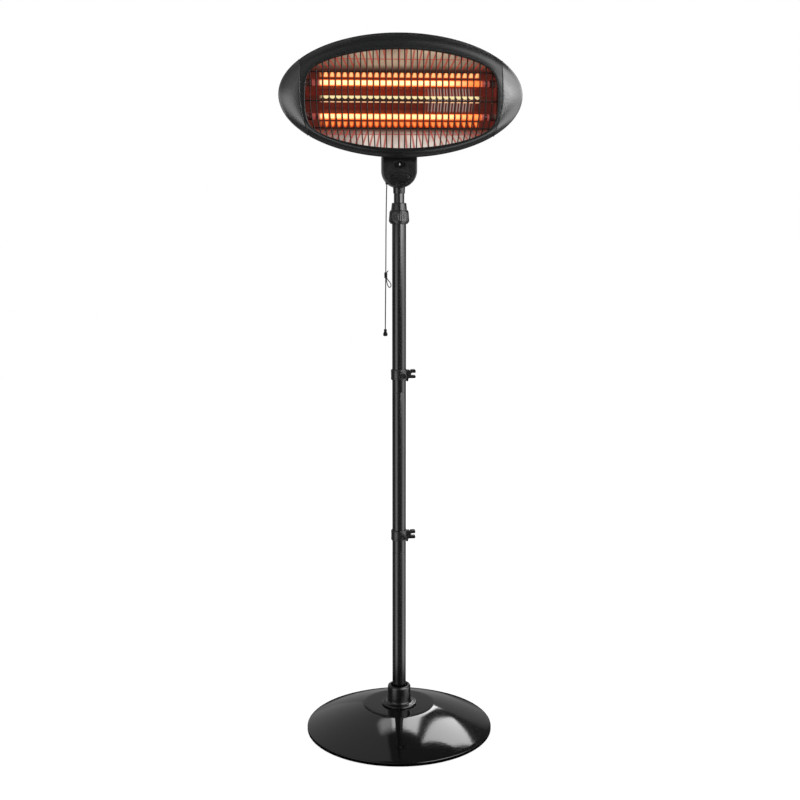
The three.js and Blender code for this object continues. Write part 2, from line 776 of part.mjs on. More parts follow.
/** The housing's block, with its front and back edges bevelled. */
function housingBlock(inset, bevel) {
  const near = -HOUSING_FRONT + inset;
  const far = HOUSING_BACK - inset;
  const geometry = new THREE.ExtrudeGeometry(outline(housingOutline(inset + bevel)), {
    depth: far - near - 2 * bevel,
    bevelEnabled: bevel > 0,
    bevelThickness: bevel,
    bevelSize: bevel,
    bevelSegments: 2,
  });
  return geometry.rotateX(Math.PI / 2).translate(0, far - bevel, 0);
}

/** One of the two knuckles that stand on the rear shell. */
function knuckle(left, right) {
  const eye = rod(KNUCKLE_R, left, right, 16).rotateY(Math.PI / 2).translate(0, 0, PIVOT_Z);
  const stem = box([left, -KNUCKLE_R, HOUSING_TOP + GAP], [right, KNUCKLE_R, PIVOT_Z]);
  const root = box([left, GAP, HOUSING_TOP - 2], [right, KNUCKLE_R, HOUSING_TOP + 1]);
  return join(solid(eye), solid(stem), solid(root));
}

function pivotRod(radius, reach) {
  return rod(radius, -reach, reach, SMALL_SIDES).rotateY(Math.PI / 2).translate(0, 0, PIVOT_Z);
}

function housingShells() {
  const neck = turn(
    [
      [0, housingFootZ - NECK_L],
      [NECK_FOOT_R, housingFootZ - NECK_L],
      [NECK_TOP_R, housingFootZ + 2],
      [NECK_TOP_R, housingFootZ + NECK_SOCKET - 4],
      [0, housingFootZ + NECK_SOCKET - 4],
    ],
    POLE_SIDES,
  );
  const tubeRoom = rod(INNER_R + GAP, housingFootZ - 2 * NECK_L, innerTopZ + GAP, POLE_SIDES);
  const shells = solid(housingBlock(0, HOUSING_BEVEL))
    .subtract(solid(housingBlock(HOUSING_WALL, 0)))
    .add(solid(neck))
    .subtract(solid(tubeRoom));
  const far = 200;
  const frontHalf = solid(box([-far, -far, housingFootZ - far], [far, -GAP / 2, HOUSING_TOP + far]));
  const backHalf = solid(box([-far, GAP / 2, housingFootZ - far], [far, far, HOUSING_TOP + far]));

  const recessFloor = -HOUSING_FRONT + RECESS_DEPTH;
  const recess = slab(oval(RECESS_W / 2, RECESS_H / 2, RECESS_Z, 20), -far, recessFloor);
  const lensHole = slab(oval(LENS_W / 2 + GAP, LENS_H / 2 + GAP, RECESS_Z, 10), -far, 0);
  const badgeSeat = slab(
    oval(BADGE_W / 2 + GAP, BADGE_H / 2 + GAP, BADGE_Z, 24),
    -far,
    -HOUSING_FRONT + BADGE_T,
  );
  const cordHole = rod(GROMMET_R + GAP, GROMMET_FOOT_Z - 10, GROMMET_TOP_Z, SMALL_SIDES).translate(
    CORD_X,
    CORD_Y,
    0,
  );
  const front = shells
    .intersect(frontHalf)
    .subtract(solid(recess))
    .subtract(solid(lensHole))
    .subtract(solid(badgeSeat))
    .subtract(solid(cordHole));

  const glandHole = rod(GLAND_BORE_R + GLAND_WALL + GAP, 0, far, 16)
    .rotateX(-Math.PI / 2)
    .translate(0, 0, GLAND_Z);
  const screwHoles = housingScrews.map(([x, z]) =>
    solid(rod(SCREW_R + GAP, 0, far, 8).rotateX(-Math.PI / 2).translate(x, 0, z)),
  );
  let back = shells
    .intersect(backHalf)
    .add(knuckle(KNUCKLE_IN, KNUCKLE_OUT))
    .add(knuckle(-KNUCKLE_OUT, -KNUCKLE_IN))
    .subtract(solid(pivotRod(TILT_BOLT_R + GAP, far)))
    .subtract(solid(glandHole));
  for (const hole of screwHoles) back = back.subtract(hole);
  return { front: shape(front), back: shape(back) };
}

/** A pan-head screw along Y, its head's seat at y = 0 and the head behind it. */
function panScrew(length) {
  return turn(
    [
      [0, -length],
      [SCREW_R, -length],
      [SCREW_R, 0],
      [SCREW_HEAD_R, 0],
      [SCREW_HEAD_R, SCREW_HEAD_H - 1],
      [SCREW_HEAD_R - 1, SCREW_HEAD_H],
      [0, SCREW_HEAD_H],
    ],
    8,
  ).rotateX(-Math.PI / 2);
}

function ovalPlate(width, height, z, near, far, sides) {
  return slab(oval(width / 2, height / 2, z, sides), near, far);
}

function cableGland() {
  const seat = HOUSING_BACK + GAP;
  const inside = HOUSING_BACK - HOUSING_WALL - 3;
  const shankR = GLAND_BORE_R + GLAND_WALL;
  return turnRing(
    [
      [shankR, inside],
      [shankR, seat],
      [GLAND_R, seat],
      [GLAND_R, seat + GLAND_L * 0.5],
      [GLAND_R - 1.5, seat + GLAND_L],
      [GLAND_BORE_R, seat + GLAND_L],
      [GLAND_BORE_R, inside],
    ],
    16,
  )
    .rotateX(-Math.PI / 2)
    .translate(0, 0, GLAND_Z);
}

const shells = housingShells();
piece(heater, 'housing_front', shells.front, FINISH.blackPlastic);
piece(heater, 'housing_rear', shells.back, FINISH.blackPlastic);
const badgeNear = -HOUSING_FRONT - BADGE_PROUD;
const badgeFar = -HOUSING_FRONT + BADGE_T - GAP;
const badgePlate = ovalPlate(BADGE_W, BADGE_H, BADGE_Z, badgeNear, badgeFar, 24);
piece(heater, 'badge', badgePlate, FINISH.satinPlastic);
const switchFront = -HOUSING_FRONT + HOUSING_WALL + GAP;
const lensNear = -HOUSING_FRONT + RECESS_DEPTH - LENS_PROUD;
const lens = ovalPlate(LENS_W, LENS_H, RECESS_Z, lensNear, switchFront - GAP, 10);
piece(heater, 'indicator_lens', lens, FINISH.paleLens);
const switchBody = box(
  [SWITCH_LEFT, switchFront, SWITCH_Z],
  [SWITCH_RIGHT, SWITCH_BACK, SWITCH_Z + SWITCH_H],
);
piece(heater, 'pull_switch', switchBody, FINISH.satinPlastic);
const tipSwitch = box(
  [TIP_SWITCH_LEFT, switchFront, SWITCH_Z],
  [TIP_SWITCH_RIGHT, TIP_SWITCH_BACK, SWITCH_Z + SWITCH_H],
);
piece(heater, 'tip_over_switch', tipSwitch, FINISH.satinPlastic);
const grommet = pipe(GROMMET_R, GROMMET_BORE_R, GROMMET_FOOT_Z, GROMMET_TOP_Z, SMALL_SIDES);
piece(heater, 'cord_grommet', grommet.translate(CORD_X, CORD_Y, 0), FINISH.blackPlastic);
piece(heater, 'cable_gland', cableGland(), FINISH.blackPlastic);
housingScrews.forEach(([x, z], i) => {
  const geometry = panScrew(HOUSING_SCREW_L);
  const screw = piece(heater, `housing_screw_${i + 1}`, geometry, FINISH.zincSteel);
  screw.position.set(x, HOUSING_BACK + GAP, z);
});

/** Hex bolt through the three knuckles, with the nut on its other end. */
function tiltBolt() {
  const seat = KNUCKLE_OUT + GAP;
  return turn(
    [
      [0, -seat - TILT_HEAD_L - TILT_BOLT_SPARE],
      [TILT_BOLT_R, -seat - TILT_HEAD_L - TILT_BOLT_SPARE],
      [TILT_BOLT_R, seat],
      [TILT_HEAD_R, seat],
      [TILT_HEAD_R, seat + TILT_HEAD_L],
      [0, seat + TILT_HEAD_L],
    ],
    SMALL_SIDES,
  )
    .rotateY(Math.PI / 2)
    .translate(0, 0, PIVOT_Z);
}

function tiltNut() {
  const seat = KNUCKLE_OUT + GAP;
  const hexagon = solid(rod(TILT_HEAD_R, -seat - TILT_HEAD_L, -seat, 6));
  const bore = solid(rod(TILT_BOLT_R + GAP, -seat - 2 * TILT_HEAD_L, 0, 12));
  return shape(hexagon.subtract(bore)).rotateY(Math.PI / 2).translate(0, 0, PIVOT_Z);
}

piece(heater, 'tilt_bolt', tiltBolt(), FINISH.zincSteel);
piece(heater, 'tilt_nut', tiltNut(), FINISH.zincSteel);

// ---------------------------------------------------------------- pull cord
// Points down the cord's middle, each [x, drop below the switch lever].
const CORD_ROUTE = [
  [CORD_X, 0],
  [CORD_X, 23.7],
  [-26.4, 45.7],
  [-27.2, 85.7],
  [-27.6, 120.7],
  [-27.8, 155.7],
  [-28, 185.7],
  [-28.2, 210.7],
  [-28.5, 235.7],
  [-28.8, 265.7],
  [-29.1, 295.7],
  [-29.3, 321.7],
].map(([x, drop]) => new THREE.Vector3(x, CORD_Y, LEVER_Z - GAP - drop));
function pullCord() {
  const path = new THREE.CatmullRomCurve3(CORD_ROUTE);
  const section = outline(oval(CORD_R, CORD_R, 0, 8));
  return new THREE.ExtrudeGeometry(section, {
    steps: CORD_STEPS,
    extrudePath: path,
    bevelEnabled: false,
  });
}

/** Overhand knot round the cord with a drooping loop and a short tail. */
function cordKnot() {
  const middle = (KNOT_TOP_Z + KNOT_FOOT_Z) / 2;
  const half = (KNOT_TOP_Z - KNOT_FOOT_Z) / 2;
  const x = KNOT_X;
  const lump = new THREE.SphereGeometry(1, 9, 6)
    .rotateX(Math.PI / 2)
    .scale(KNOT_R, KNOT_R * 0.8, half)
    .translate(x, CORD_Y, middle);
  const loop = wire(
    [
      [x + 1, KNOT_FOOT_Z + 3],
      [x + 5, KNOT_FOOT_Z - 2],
      [x + 10, KNOT_FOOT_Z - 8],
      [x + 10.6, KNOT_FOOT_Z - 13],
      [x + 8, KNOT_FOOT_Z - 16.5],
      [x + 5, KNOT_FOOT_Z - 15],
      [x + 2.9, KNOT_FOOT_Z - 8],
      [x + 1.4, KNOT_FOOT_Z + 2],
    ].map(([px, pz], i) => new THREE.Vector3(px, CORD_Y - 1.4 - 0.1 * i, pz)),
    CORD_R,
    6,
  );
  const tail = wire(
    [
      new THREE.Vector3(x + 0.5, CORD_Y - 1, KNOT_TOP_Z - 4),
      new THREE.Vector3(x + 2, CORD_Y - 1, KNOT_TOP_Z - 0.5),
      new THREE.Vector3(x + 4.5, CORD_Y - 1, KNOT_TOP_Z + 1.5),
    ],
    CORD_R,
    6,
  );
  const channel = rod(CORD_R + GAP, KNOT_FOOT_Z - 5, KNOT_TOP_Z + 5, 8).translate(x, CORD_Y, 0);
  return shape(join(solid(lump), solid(loop), solid(tail)).subtract(solid(channel)));
}

function pullBell() {
  const end = CORD_ROUTE[CORD_ROUTE.length - 1];
  const top = end.z - GAP;
  return turn(
    [
      [0, top],
      [BELL_TOP_R, top],
      [BELL_TOP_R + 0.6, top - 1.5],
      [BELL_TOP_R + 0.4, top - 5],
      [BELL_FOOT_R - 0.6, top - BELL_L + 3],
      [BELL_FOOT_R, top - BELL_L + 1],
      [BELL_FOOT_R - 0.6, top - BELL_L],
      [0, top - BELL_L],
    ],
    16,
  ).translate(end.x, end.y, 0);
}

const leverEnd = SWITCH_LEFT - GAP;
const lever = box(
  [leverEnd - LEVER_L, CORD_Y - LEVER_W / 2, LEVER_Z],
  [leverEnd, CORD_Y + LEVER_W / 2, LEVER_Z + LEVER_H],
);
piece(heater, 'switch_lever', lever, FINISH.satinPlastic);
piece(heater, 'pull_cord', pullCord(), FINISH.cordFabric);
piece(heater, 'cord_knot', cordKnot(), FINISH.cordFabric);
piece(heater, 'pull_bell', pullBell(), FINISH.blackPlastic);

// ---------------------------------------------------------------- head shells
/** A point of the rim's oval, moved inwards. */
function rimPoint(angle, inset, y) {
  return [(HEAD_A - inset) * Math.cos(angle), y, (HEAD_B - inset) * Math.sin(angle)];
}

/** A point of the window's outline: an oval with its ends cut off and the corners rounded. */
function windowPoint(angle, grow, y) {
  const [c, s] = [Math.cos(angle), Math.sin(angle)];
  const [x, z] = [c * WINDOW_A, s * WINDOW_B];
  const reach = Math.pow(1 + Math.pow(Math.abs(x) / WINDOW_HALF_W, WINDOW_POWER), -1 / WINDOW_POWER);
  const [px, pz] = [x * reach, z * reach];
  const length = Math.hypot(px / WINDOW_HALF_W, pz / WINDOW_B) || 1;
  const outX = (grow * px) / (WINDOW_HALF_W * length);
  const outZ = (grow * pz) / (WINDOW_B * length);
  return [px + outX, y, pz + outZ - WINDOW_DROP];
}

const ovalAngles = Array.from({ length: OVAL_SIDES }, (_, i) => ((i + 0.5) / OVAL_SIDES) * 2 * Math.PI);
const ovalRing = (point, ...rest) => ovalAngles.map((angle) => point(angle, ...rest));

/** A ring between rim and window; share 0 is at the rim, 1 at the window. */
function faceRing(share, depth) {
  const rise = BEZEL_RISE * (1 - (1 - share) ** 2);
  return ovalAngles.map((angle) => {
    const [rx, , rz] = rimPoint(angle, 1.5 + depth * 0.5, 0);
    const [wx, , wz] = windowPoint(angle, 1.2 + depth * 0.5, 0);
    return [lerp(rx, wx, share), -rise + depth, lerp(rz, wz, share)];
  });
}

/** The whole oval face, from its skirt to the lip round the window. */
function ovalFace() {
  const front = -BEZEL_RISE;
  const wall = BEZEL_WALL;
  return skin(
    [
      ovalRing(rimPoint, 0, BEZEL_FLANGE),
      ovalRing(rimPoint, 0, 1.5),
      faceRing(0, 0),
      faceRing(0.3, 0),
      faceRing(0.65, 0),
      faceRing(1, 0),
      ovalRing(windowPoint, 0, front + 1.2),
      ovalRing(windowPoint, 0, front + BEZEL_LIP),
      ovalRing(windowPoint, wall, front + BEZEL_LIP),
      ovalRing(windowPoint, wall, front + wall + 0.8),
      faceRing(0.65, wall),
      faceRing(0.3, wall),
      ovalRing(rimPoint, wall, wall),
      ovalRing(rimPoint, wall, BEZEL_FLANGE),
    ],
    true,
  );
}

/** Everything outboard of the joint between bezel and end cap, shifted outwards. */
function capRegion(side, shift) {
  const far = HEAD_A + HEAD_B;
  const line = CREASE_X + shift;
  const curve = arc(line - CREASE_R, CREASE_START_Z, CREASE_R, 0, -CREASE_SWEEP, 8);
  const points = [[line, far], ...curve, [curve[8][0], -far], [far, -far], [far, far]];
  const turned = points.map(([x, z]) => [side * x, z]);
  return solid(slab(side > 0 ? turned : turned.reverse(), -far, far));
}

const face = solid(ovalFace());
const bezelSolid = face
  .subtract(capRegion(1, -CREASE_GAP / 2))
  .subtract(capRegion(-1, -CREASE_GAP / 2));
piece(head, 'bezel', shape(bezelSolid), FINISH.satinPlastic);
const rightCap = shape(face.intersect(capRegion(1, CREASE_GAP / 2)));
piece(head, 'end_cap_right', rightCap, FINISH.satinPlastic);
const leftCap = shape(face.intersect(capRegion(-1, CREASE_GAP / 2)));
piece(head, 'end_cap_left', leftCap, FINISH.satinPlastic);

const shellRimInset = BEZEL_WALL + GAP;
const backY = SHELL_DEPTH;

/** One ring of the pressed rear shell; turn 0 is at the rim, 90 at the flat back. */
function bowlRing(degrees, inset) {
  const angle = THREE.MathUtils.degToRad(degrees);
  const drawn = SHELL_INSET * (1 - Math.cos(angle));
  const y = (backY - inset) * Math.sin(angle);
  return ovalRing(rimPoint, shellRimInset + drawn + inset, y);
}

function rearShell() {
  const turns = [90, 68, 46, 22];
  const rimY = BEZEL_WALL + GAP;
  const outer = turns.map((degrees) => bowlRing(degrees, 0));
  const inner = turns.map((degrees) => bowlRing(degrees, SHELL_WALL)).reverse();
  const rim = [
    ovalRing(rimPoint, shellRimInset, rimY),
    ovalRing(rimPoint, shellRimInset + SHELL_WALL, rimY),
  ];
  let shell = solid(skin([...outer, ...rim, ...inner], false));
  for (const z of VENT_ROWS_Z) {
    for (let i = 0; i < VENTS_PER_ROW; i += 1) {
      const x = (i - (VENTS_PER_ROW - 1) / 2) * VENT_PITCH;
      const vent = box([x - VENT_W / 2, 20, z - VENT_H / 2], [x + VENT_W / 2, 80, z + VENT_H / 2]);
      shell = shell.subtract(solid(vent));
    }
  }
  const wallFace = backY - SHELL_WALL;
  for (const x of [-STANDOFF_X, STANDOFF_X]) {
    for (const z of troughMiddles) {
      const post = rod(STANDOFF_R, TROUGH_Y + REFLECTOR_T + GAP, wallFace + 0.5, 6)
        .rotateX(-Math.PI / 2)
        .translate(x, 0, z);
      shell = shell.add(solid(post));
    }
  }
  for (const [x, z] of lugScrews) {
    const hole = rod(SCREW_R + GAP, backY - 10, backY + 10, 8).rotateX(-Math.PI / 2);
    shell = shell.subtract(solid(hole.translate(x, 0, z)));
  }
  return shape(shell);
}

// ---------------------------------------------------------------- reflector and tubes
const tubeMiddle = -WINDOW_DROP;
const tubeHalfL = WINDOW_HALF_W - TUBE_END_ROOM;
const endPlateX = tubeHalfL + PLATE_PAST_TUBE;
const tubeHeights = { upper: tubeMiddle + TUBE_SPACING / 2, lower: tubeMiddle - TUBE_SPACING / 2 };
const troughMiddles = [1, -1].map((side) => tubeMiddle + side * (RIDGE_HALF_H + TROUGH_HALF_H));
const lugScrews = [1, -1].map((side) => [side * LUG_SCREW_X, LUG_SCREW_Z]);

/** The sheet's section, front face: [y, z] from the top flare to the ridge between the tubes. */
function reflectorHalf() {
  const top = tubeMiddle + WINDOW_B + REFLECTOR_MARGIN;
  const middle = troughMiddles[0];
  const bowl = Array.from({ length: 7 }, (_, i) => {
    const u = 1 - i / 3;
    const edge = u > 0 ? TROUGH_EDGE_Y : RIDGE_Y;
    return [TROUGH_Y - (TROUGH_Y - edge) * u ** 2, middle + u * TROUGH_HALF_H];
  });
  return [[FLARE_Y, top], ...bowl];
}

function reflector() {
  const upper = reflectorHalf();
  const lower = upper.map(([y, z]) => [y, 2 * tubeMiddle - z]).reverse();
  const frontLine = [...upper, ...lower];
  const backLine = frontLine.map(([y, z]) => [y + REFLECTOR_T, z]).reverse();
  const reach = endPlateX - GAP;
  const sheet = solid(beam([...frontLine, ...backLine], -reach, reach));
  const trim = slab(
    ovalRing(windowPoint, REFLECTOR_MARGIN, 0).map(([x, , z]) => [x, z]),
    -40,
    60,
  );
  return shape(sheet.intersect(solid(trim)));
}

function endPlate(side) {
  const low = tubeMiddle - END_PLATE_HALF_H;
  const high = tubeMiddle + END_PLATE_HALF_H;
  const front = FLARE_Y + 1;
  const back = TROUGH_Y - 1;
  const [near, far] = [endPlateX, endPlateX + END_PLATE_T];
  const points = [
    [front, low],
    [front, high],
    [back - 8, high],
    [back, high - 10],
    [back, low + 10],
    [back - 8, low],
  ];
  let plate = solid(beam(points, side > 0 ? near : -far, side > 0 ? far : -near));
  for (const z of Object.values(tubeHeights)) {
    const hole = rod(CERAMIC_R + GAP, near - 1, far + 1, TUBE_SIDES).rotateY((side * Math.PI) / 2);
    plate = plate.subtract(solid(hole.translate(0, TUBE_Y, z)));
  }
  return shape(plate);
}

function alongX(geometry, side, z) {
  return geometry.rotateY((side * Math.PI) / 2).translate(0, TUBE_Y, z);
}

/** Ceramic end: a cap with a blind bore for the tube. */
function ceramicEnd(side, z) {
  const start = tubeHalfL - CERAMIC_OVERLAP;
  const floor = tubeHalfL + GAP;
  const boreR = TUBE_R + GAP;
  const cap = turn(
    [
      [0, floor],
      [boreR, floor],
      [boreR, start],
      [CERAMIC_R, start],
      [CERAMIC_R, start + CERAMIC_L - 4],
      [CERAMIC_R - 2, start + CERAMIC_L],
      [0, start + CERAMIC_L],
    ],
    TUBE_SIDES,
  );
  return alongX(cap, side, z);
}

/** Coiled resistance wire that fills the tube's bore. */
function heatingCoil(z) {
  const radius = TUBE_R - TUBE_WALL - GAP - COIL_WIRE_R;
  const perTurn = 4;
  const half = tubeHalfL - COIL_END_ROOM;
  const count = COIL_TURNS * perTurn;
  const points = Array.from({ length: count + 1 }, (_, i) => {
    const angle = (i / perTurn) * 2 * Math.PI;
    const x = lerp(-half, half, i / count);
    return new THREE.Vector3(x, TUBE_Y + radius * Math.cos(angle), z + radius * Math.sin(angle));
  });
  return wire(points, COIL_WIRE_R, 3);
}

const terminalBlock = box(
  [-22, backY - SHELL_WALL - GAP - 13, tubeMiddle - 8],
  [22, backY - SHELL_WALL - GAP, tubeMiddle + 8],
);

piece(head, 'rear_shell', rearShell(), FINISH.glossPaint);
piece(head, 'reflector', reflector(), FINISH.mirrorSheet);
piece(head, 'reflector_end_right', endPlate(1), FINISH.mirrorSheet);
piece(head, 'reflector_end_left', endPlate(-1), FINISH.mirrorSheet);
for (const [level, z] of Object.entries(tubeHeights)) {
  const glass = pipe(TUBE_R, TUBE_R - TUBE_WALL, -tubeHalfL, tubeHalfL, TUBE_SIDES);
  piece(head, `quartz_tube_${level}`, alongX(glass, 1, z), FINISH.hotQuartz);
  piece(head, `heating_coil_${level}`, heatingCoil(z), FINISH.hotCoil);
  piece(head, `ceramic_${level}_right`, ceramicEnd(1, z), FINISH.whiteCeramic);
  piece(head, `ceramic_${level}_left`, ceramicEnd(-1, z), FINISH.whiteCeramic);
}
piece(head, 'terminal_block', terminalBlock, FINISH.blackPlastic);

// ---------------------------------------------------------------- wire guard
const guardEdgeY = -BEZEL_RISE + BEZEL_LIP + GAP + WIRE_R;

// Upper right quarter of the line that the wires end on, from its right end to its top.
const quarterAngles = [0, ...ovalAngles.filter((angle) => angle < Math.PI / 2)];
const wireEnds = quarterAngles.map((angle) => {
  const [x, , z] = windowPoint(angle, WIRE_TUCK, 0);
  return { x, z: z + WINDOW_DROP };
});
wireEnds.push({ x: 0, z: WINDOW_B + WIRE_TUCK });

/** One coordinate of that line where the other has a given value. */
function alongWireEnds(wanted, given, value) {
  const size = Math.abs(value);
  const pairs = wireEnds.slice(1).map((next, i) => [wireEnds[i], next]);
  const between = ([p, q]) => (p[given] - size) * (q[given] - size) <= 0;
  const [p, q] = pairs.find(between) ?? [wireEnds[0], wireEnds[0]];
  const share = p === q ? 0 : (size - p[given]) / (q[given] - p[given]);
  return lerp(p[wanted], q[wanted], share);
}

/** Depth of the guard's front wires: bowed forward in the middle, back under the lip. */
function guardY(x, z) {
  const edge = Math.max(1, alongWireEnds('z', 'x', x) - WIRE_TUCK - BEZEL_WALL);
  const up = Math.min(1, Math.abs(z + WINDOW_DROP) / edge);
  const out = Math.min(1, Math.abs(x) / (WINDOW_HALF_W - BEZEL_WALL));
  return guardEdgeY - GUARD_BOW * (1 - up ** 2) * (1 - out ** 4);
}

function wireGuard() {
  const middle = -WINDOW_DROP;
  const parts = [];
  for (let i = 0; i < 2 * WIRES_PER_SIDE; i += 1) {
    const x = (i + 0.5 - WIRES_PER_SIDE) * WIRE_PITCH;
    const lowX = x * (1 - WIRE_LEAN);
    const [high, low] = [alongWireEnds('z', 'x', x), alongWireEnds('z', 'x', lowX)];
    const points = [1, 0.5, 0, -0.5, -1].map((u) => {
      const z = middle + (u > 0 ? u * high : u * low);
      const leaned = u > 0 ? x : lerp(x, lowX, u ** 2);
      return new THREE.Vector3(leaned, guardY(leaned, z), z);
    });
    parts.push(solid(wire(points, WIRE_R, WIRE_SIDES)));
  }
  for (const z of CROSS_WIRES_Z) {
    const reach = alongWireEnds('x', 'z', z - middle);
    const points = [-1, -0.85, -0.5, 0, 0.5, 0.85, 1].map((u) => {
      const x = u * reach;
      return new THREE.Vector3(x, guardY(x, z) + CROSS_WIRE_SET_BACK, z);
    });
    parts.push(solid(wire(points, WIRE_R, WIRE_SIDES, Math.PI / WIRE_SIDES)));
  }
  return shape(join(...parts));
}

piece(head, 'wire_guard', wireGuard(), FINISH.guardWire);

// ---------------------------------------------------------------- hinge lug
/** Plate on the back of the head, with an arm down to the middle knuckle. */
function hingeLug() {
  const pivotY = -HEAD_RIM_Y;
  const pivotZ = PIVOT_Z - HEAD_Z;
  const seat = backY + GAP;
  const outside = seat + LUG_T;
  const half = KNUCKLE_IN - HINGE_SIDE_GAP;
  const plate = solid(
    box([-LUG_PLATE_HALF_W, seat, LUG_PLATE_LOW], [LUG_PLATE_HALF_W, outside, LUG_PLATE_HIGH]),
  );
  const armTop = lerp(LUG_PLATE_LOW, LUG_PLATE_HIGH, 0.68);
  const arm = solid(
    beam(
      [
        [seat, armTop],
        [seat, LUG_PLATE_LOW + 1],
        [seat - 2, LUG_PLATE_LOW - 9],
        ...arc(pivotY, pivotZ, KNUCKLE_R, 170, 370, 12),
        [pivotY + 4, LUG_PLATE_LOW - 3],
        [outside + 1, armTop - 10],
        [outside, armTop],
      ],
      -half,
      half,
    ),
  );
  const bore = pivotRod(TILT_BOLT_R + GAP, 100).translate(0, pivotY, -HEAD_Z);
  let lug = plate.add(arm).subtract(solid(bore));
  for (const [x, z] of lugScrews) {
    const hole = rod(SCREW_R + GAP, 0, 100, 8).rotateX(-Math.PI / 2).translate(x, 0, z);
    lug = lug.subtract(solid(hole));
  }
  return { geometry: shape(lug), screwSeat: outside + GAP };
}

const lug = hingeLug();
piece(head, 'hinge_lug', lug.geometry, FINISH.blackPlastic);
lugScrews.forEach(([x, z], i) => {
  const screw = piece(head, `lug_screw_${i + 1}`, panScrew(LUG_SCREW_L), FINISH.zincSteel);
  screw.position.set(x, lug.screwSeat, z);
});

export default heater;
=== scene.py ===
import json
import math

import bmesh
import bpy
import numpy as np
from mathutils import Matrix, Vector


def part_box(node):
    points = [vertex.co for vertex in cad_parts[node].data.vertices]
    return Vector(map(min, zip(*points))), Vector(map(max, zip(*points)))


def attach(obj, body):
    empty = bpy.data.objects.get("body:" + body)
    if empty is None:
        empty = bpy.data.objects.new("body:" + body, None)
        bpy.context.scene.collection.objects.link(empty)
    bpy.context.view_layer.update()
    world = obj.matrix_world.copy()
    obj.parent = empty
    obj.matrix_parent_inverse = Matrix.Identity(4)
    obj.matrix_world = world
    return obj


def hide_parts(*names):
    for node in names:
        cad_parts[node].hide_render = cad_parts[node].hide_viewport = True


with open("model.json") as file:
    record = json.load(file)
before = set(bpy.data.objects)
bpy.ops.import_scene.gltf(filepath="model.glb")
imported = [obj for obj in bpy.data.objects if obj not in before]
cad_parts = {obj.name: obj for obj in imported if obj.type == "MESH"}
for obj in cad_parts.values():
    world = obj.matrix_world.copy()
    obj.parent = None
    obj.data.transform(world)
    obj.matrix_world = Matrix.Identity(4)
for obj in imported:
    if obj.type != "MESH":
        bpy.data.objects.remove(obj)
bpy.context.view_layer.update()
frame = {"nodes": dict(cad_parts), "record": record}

# Shapes are worked out in millimetres, in the same frame as the solids, and put() turns them
# into metres. The pull cord's route is in metres, as the solids' own route is given.
MM = 0.001
GAP = 0.3  # clearance between neighbouring pieces
FRONT, BACK = (0, -1, 0), (0, 1, 0)  # sides of the heater

# ---------------------------------------------------------------- camera and pull cord
CAMERA_DISTANCE = 2.4945  # from the pole's axis
CAMERA_HEIGHT = 1.096
CAMERA_PITCH = 8.5  # degrees below level
CAMERA_YAW = 4.2  # degrees to the left of the heater's front
CAMERA_SIDESTEP = 0.0019  # to its own right
CAMERA_LENS = 54
CAMERA_SENSOR = 36

CORD_RADIUS = 1.1
KNOT_STRAND = 0.96  # radius of the cord's tail where it is wound tight
CORD_ROUTE = [
    (-0.0258, -0.010, 1.1957), (-0.0258, -0.010, 1.172), (-0.0264, -0.010, 1.150),
    (-0.0272, -0.010, 1.110), (-0.0276, -0.010, 1.075), (-0.0278, -0.010, 1.040),
    (-0.0280, -0.010, 1.010), (-0.0282, -0.010, 0.985), (-0.0285, -0.010, 0.960),
    (-0.0288, -0.010, 0.930), (-0.0291, -0.010, 0.900), (-0.0293, -0.010, 0.874),
]


def placed(name, data):
    """New object in the scene."""
    made = bpy.data.objects.new(name, data)
    bpy.context.scene.collection.objects.link(made)
    return made


def make_camera():
    """The photograph's viewpoint: level with the collar, tipped down a little."""
    lens = bpy.data.cameras.new("photo_view")
    lens.lens = CAMERA_LENS
    lens.sensor_width = CAMERA_SENSOR
    camera = placed("photo_view", lens)
    yaw = math.radians(CAMERA_YAW)
    x = -CAMERA_DISTANCE * math.sin(yaw) + CAMERA_SIDESTEP * math.cos(yaw)
    y = -CAMERA_DISTANCE * math.cos(yaw) - CAMERA_SIDESTEP * math.sin(yaw)
    camera.location = (x, y, CAMERA_HEIGHT)
    camera.rotation_euler = (math.radians(90 - CAMERA_PITCH), 0, -yaw)
    bpy.context.scene.camera = camera


# ---------------------------------------------------------------- curves and profiles
def span(node):
    """Lowest and highest corner of a solid, in millimetres."""
    low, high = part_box(node)
    return np.array(low) / MM, np.array(high) / MM


def arc(centre, radius, start, end, steps=6):
    """Points of a circular arc, with its angles in degrees."""
    turn = np.radians(np.linspace(start, end, steps + 1))
    return np.stack([centre[0] + radius * np.cos(turn), centre[1] + radius * np.sin(turn)], -1)


def rounded(points, radius, steps=4, closed=True):
    """A polyline with each corner P replaced by the curve (1-s)^2 A + 2s(1-s) P + s^2 B, where
    A and B lie on the corner's two sides, a radius away from it or less on a short side."""
    p = np.asarray(points, float)
    radius = np.broadcast_to(np.asarray(radius, float), (len(p),))
    before, after = np.roll(p, 1, 0) - p, np.roll(p, -1, 0) - p
    cut = [
        np.minimum(radius, 0.45 * np.linalg.norm(side, axis=1))[:, None]
        * side
        / np.maximum(np.linalg.norm(side, axis=1), 1e-9)[:, None]
        for side in (before, after)
    ]
    s = np.linspace(0, 1, steps + 1)[None, :, None]
    a, b, corner = (p + cut[0])[:, None], (p + cut[1])[:, None], p[:, None]
    curves = (1 - s) ** 2 * a + 2 * s * (1 - s) * corner + s**2 * b
    if closed:
        return curves.reshape(-1, p.shape[1])
    return np.vstack([p[:1], curves[1:-1].reshape(-1, p.shape[1]), p[-1:]])


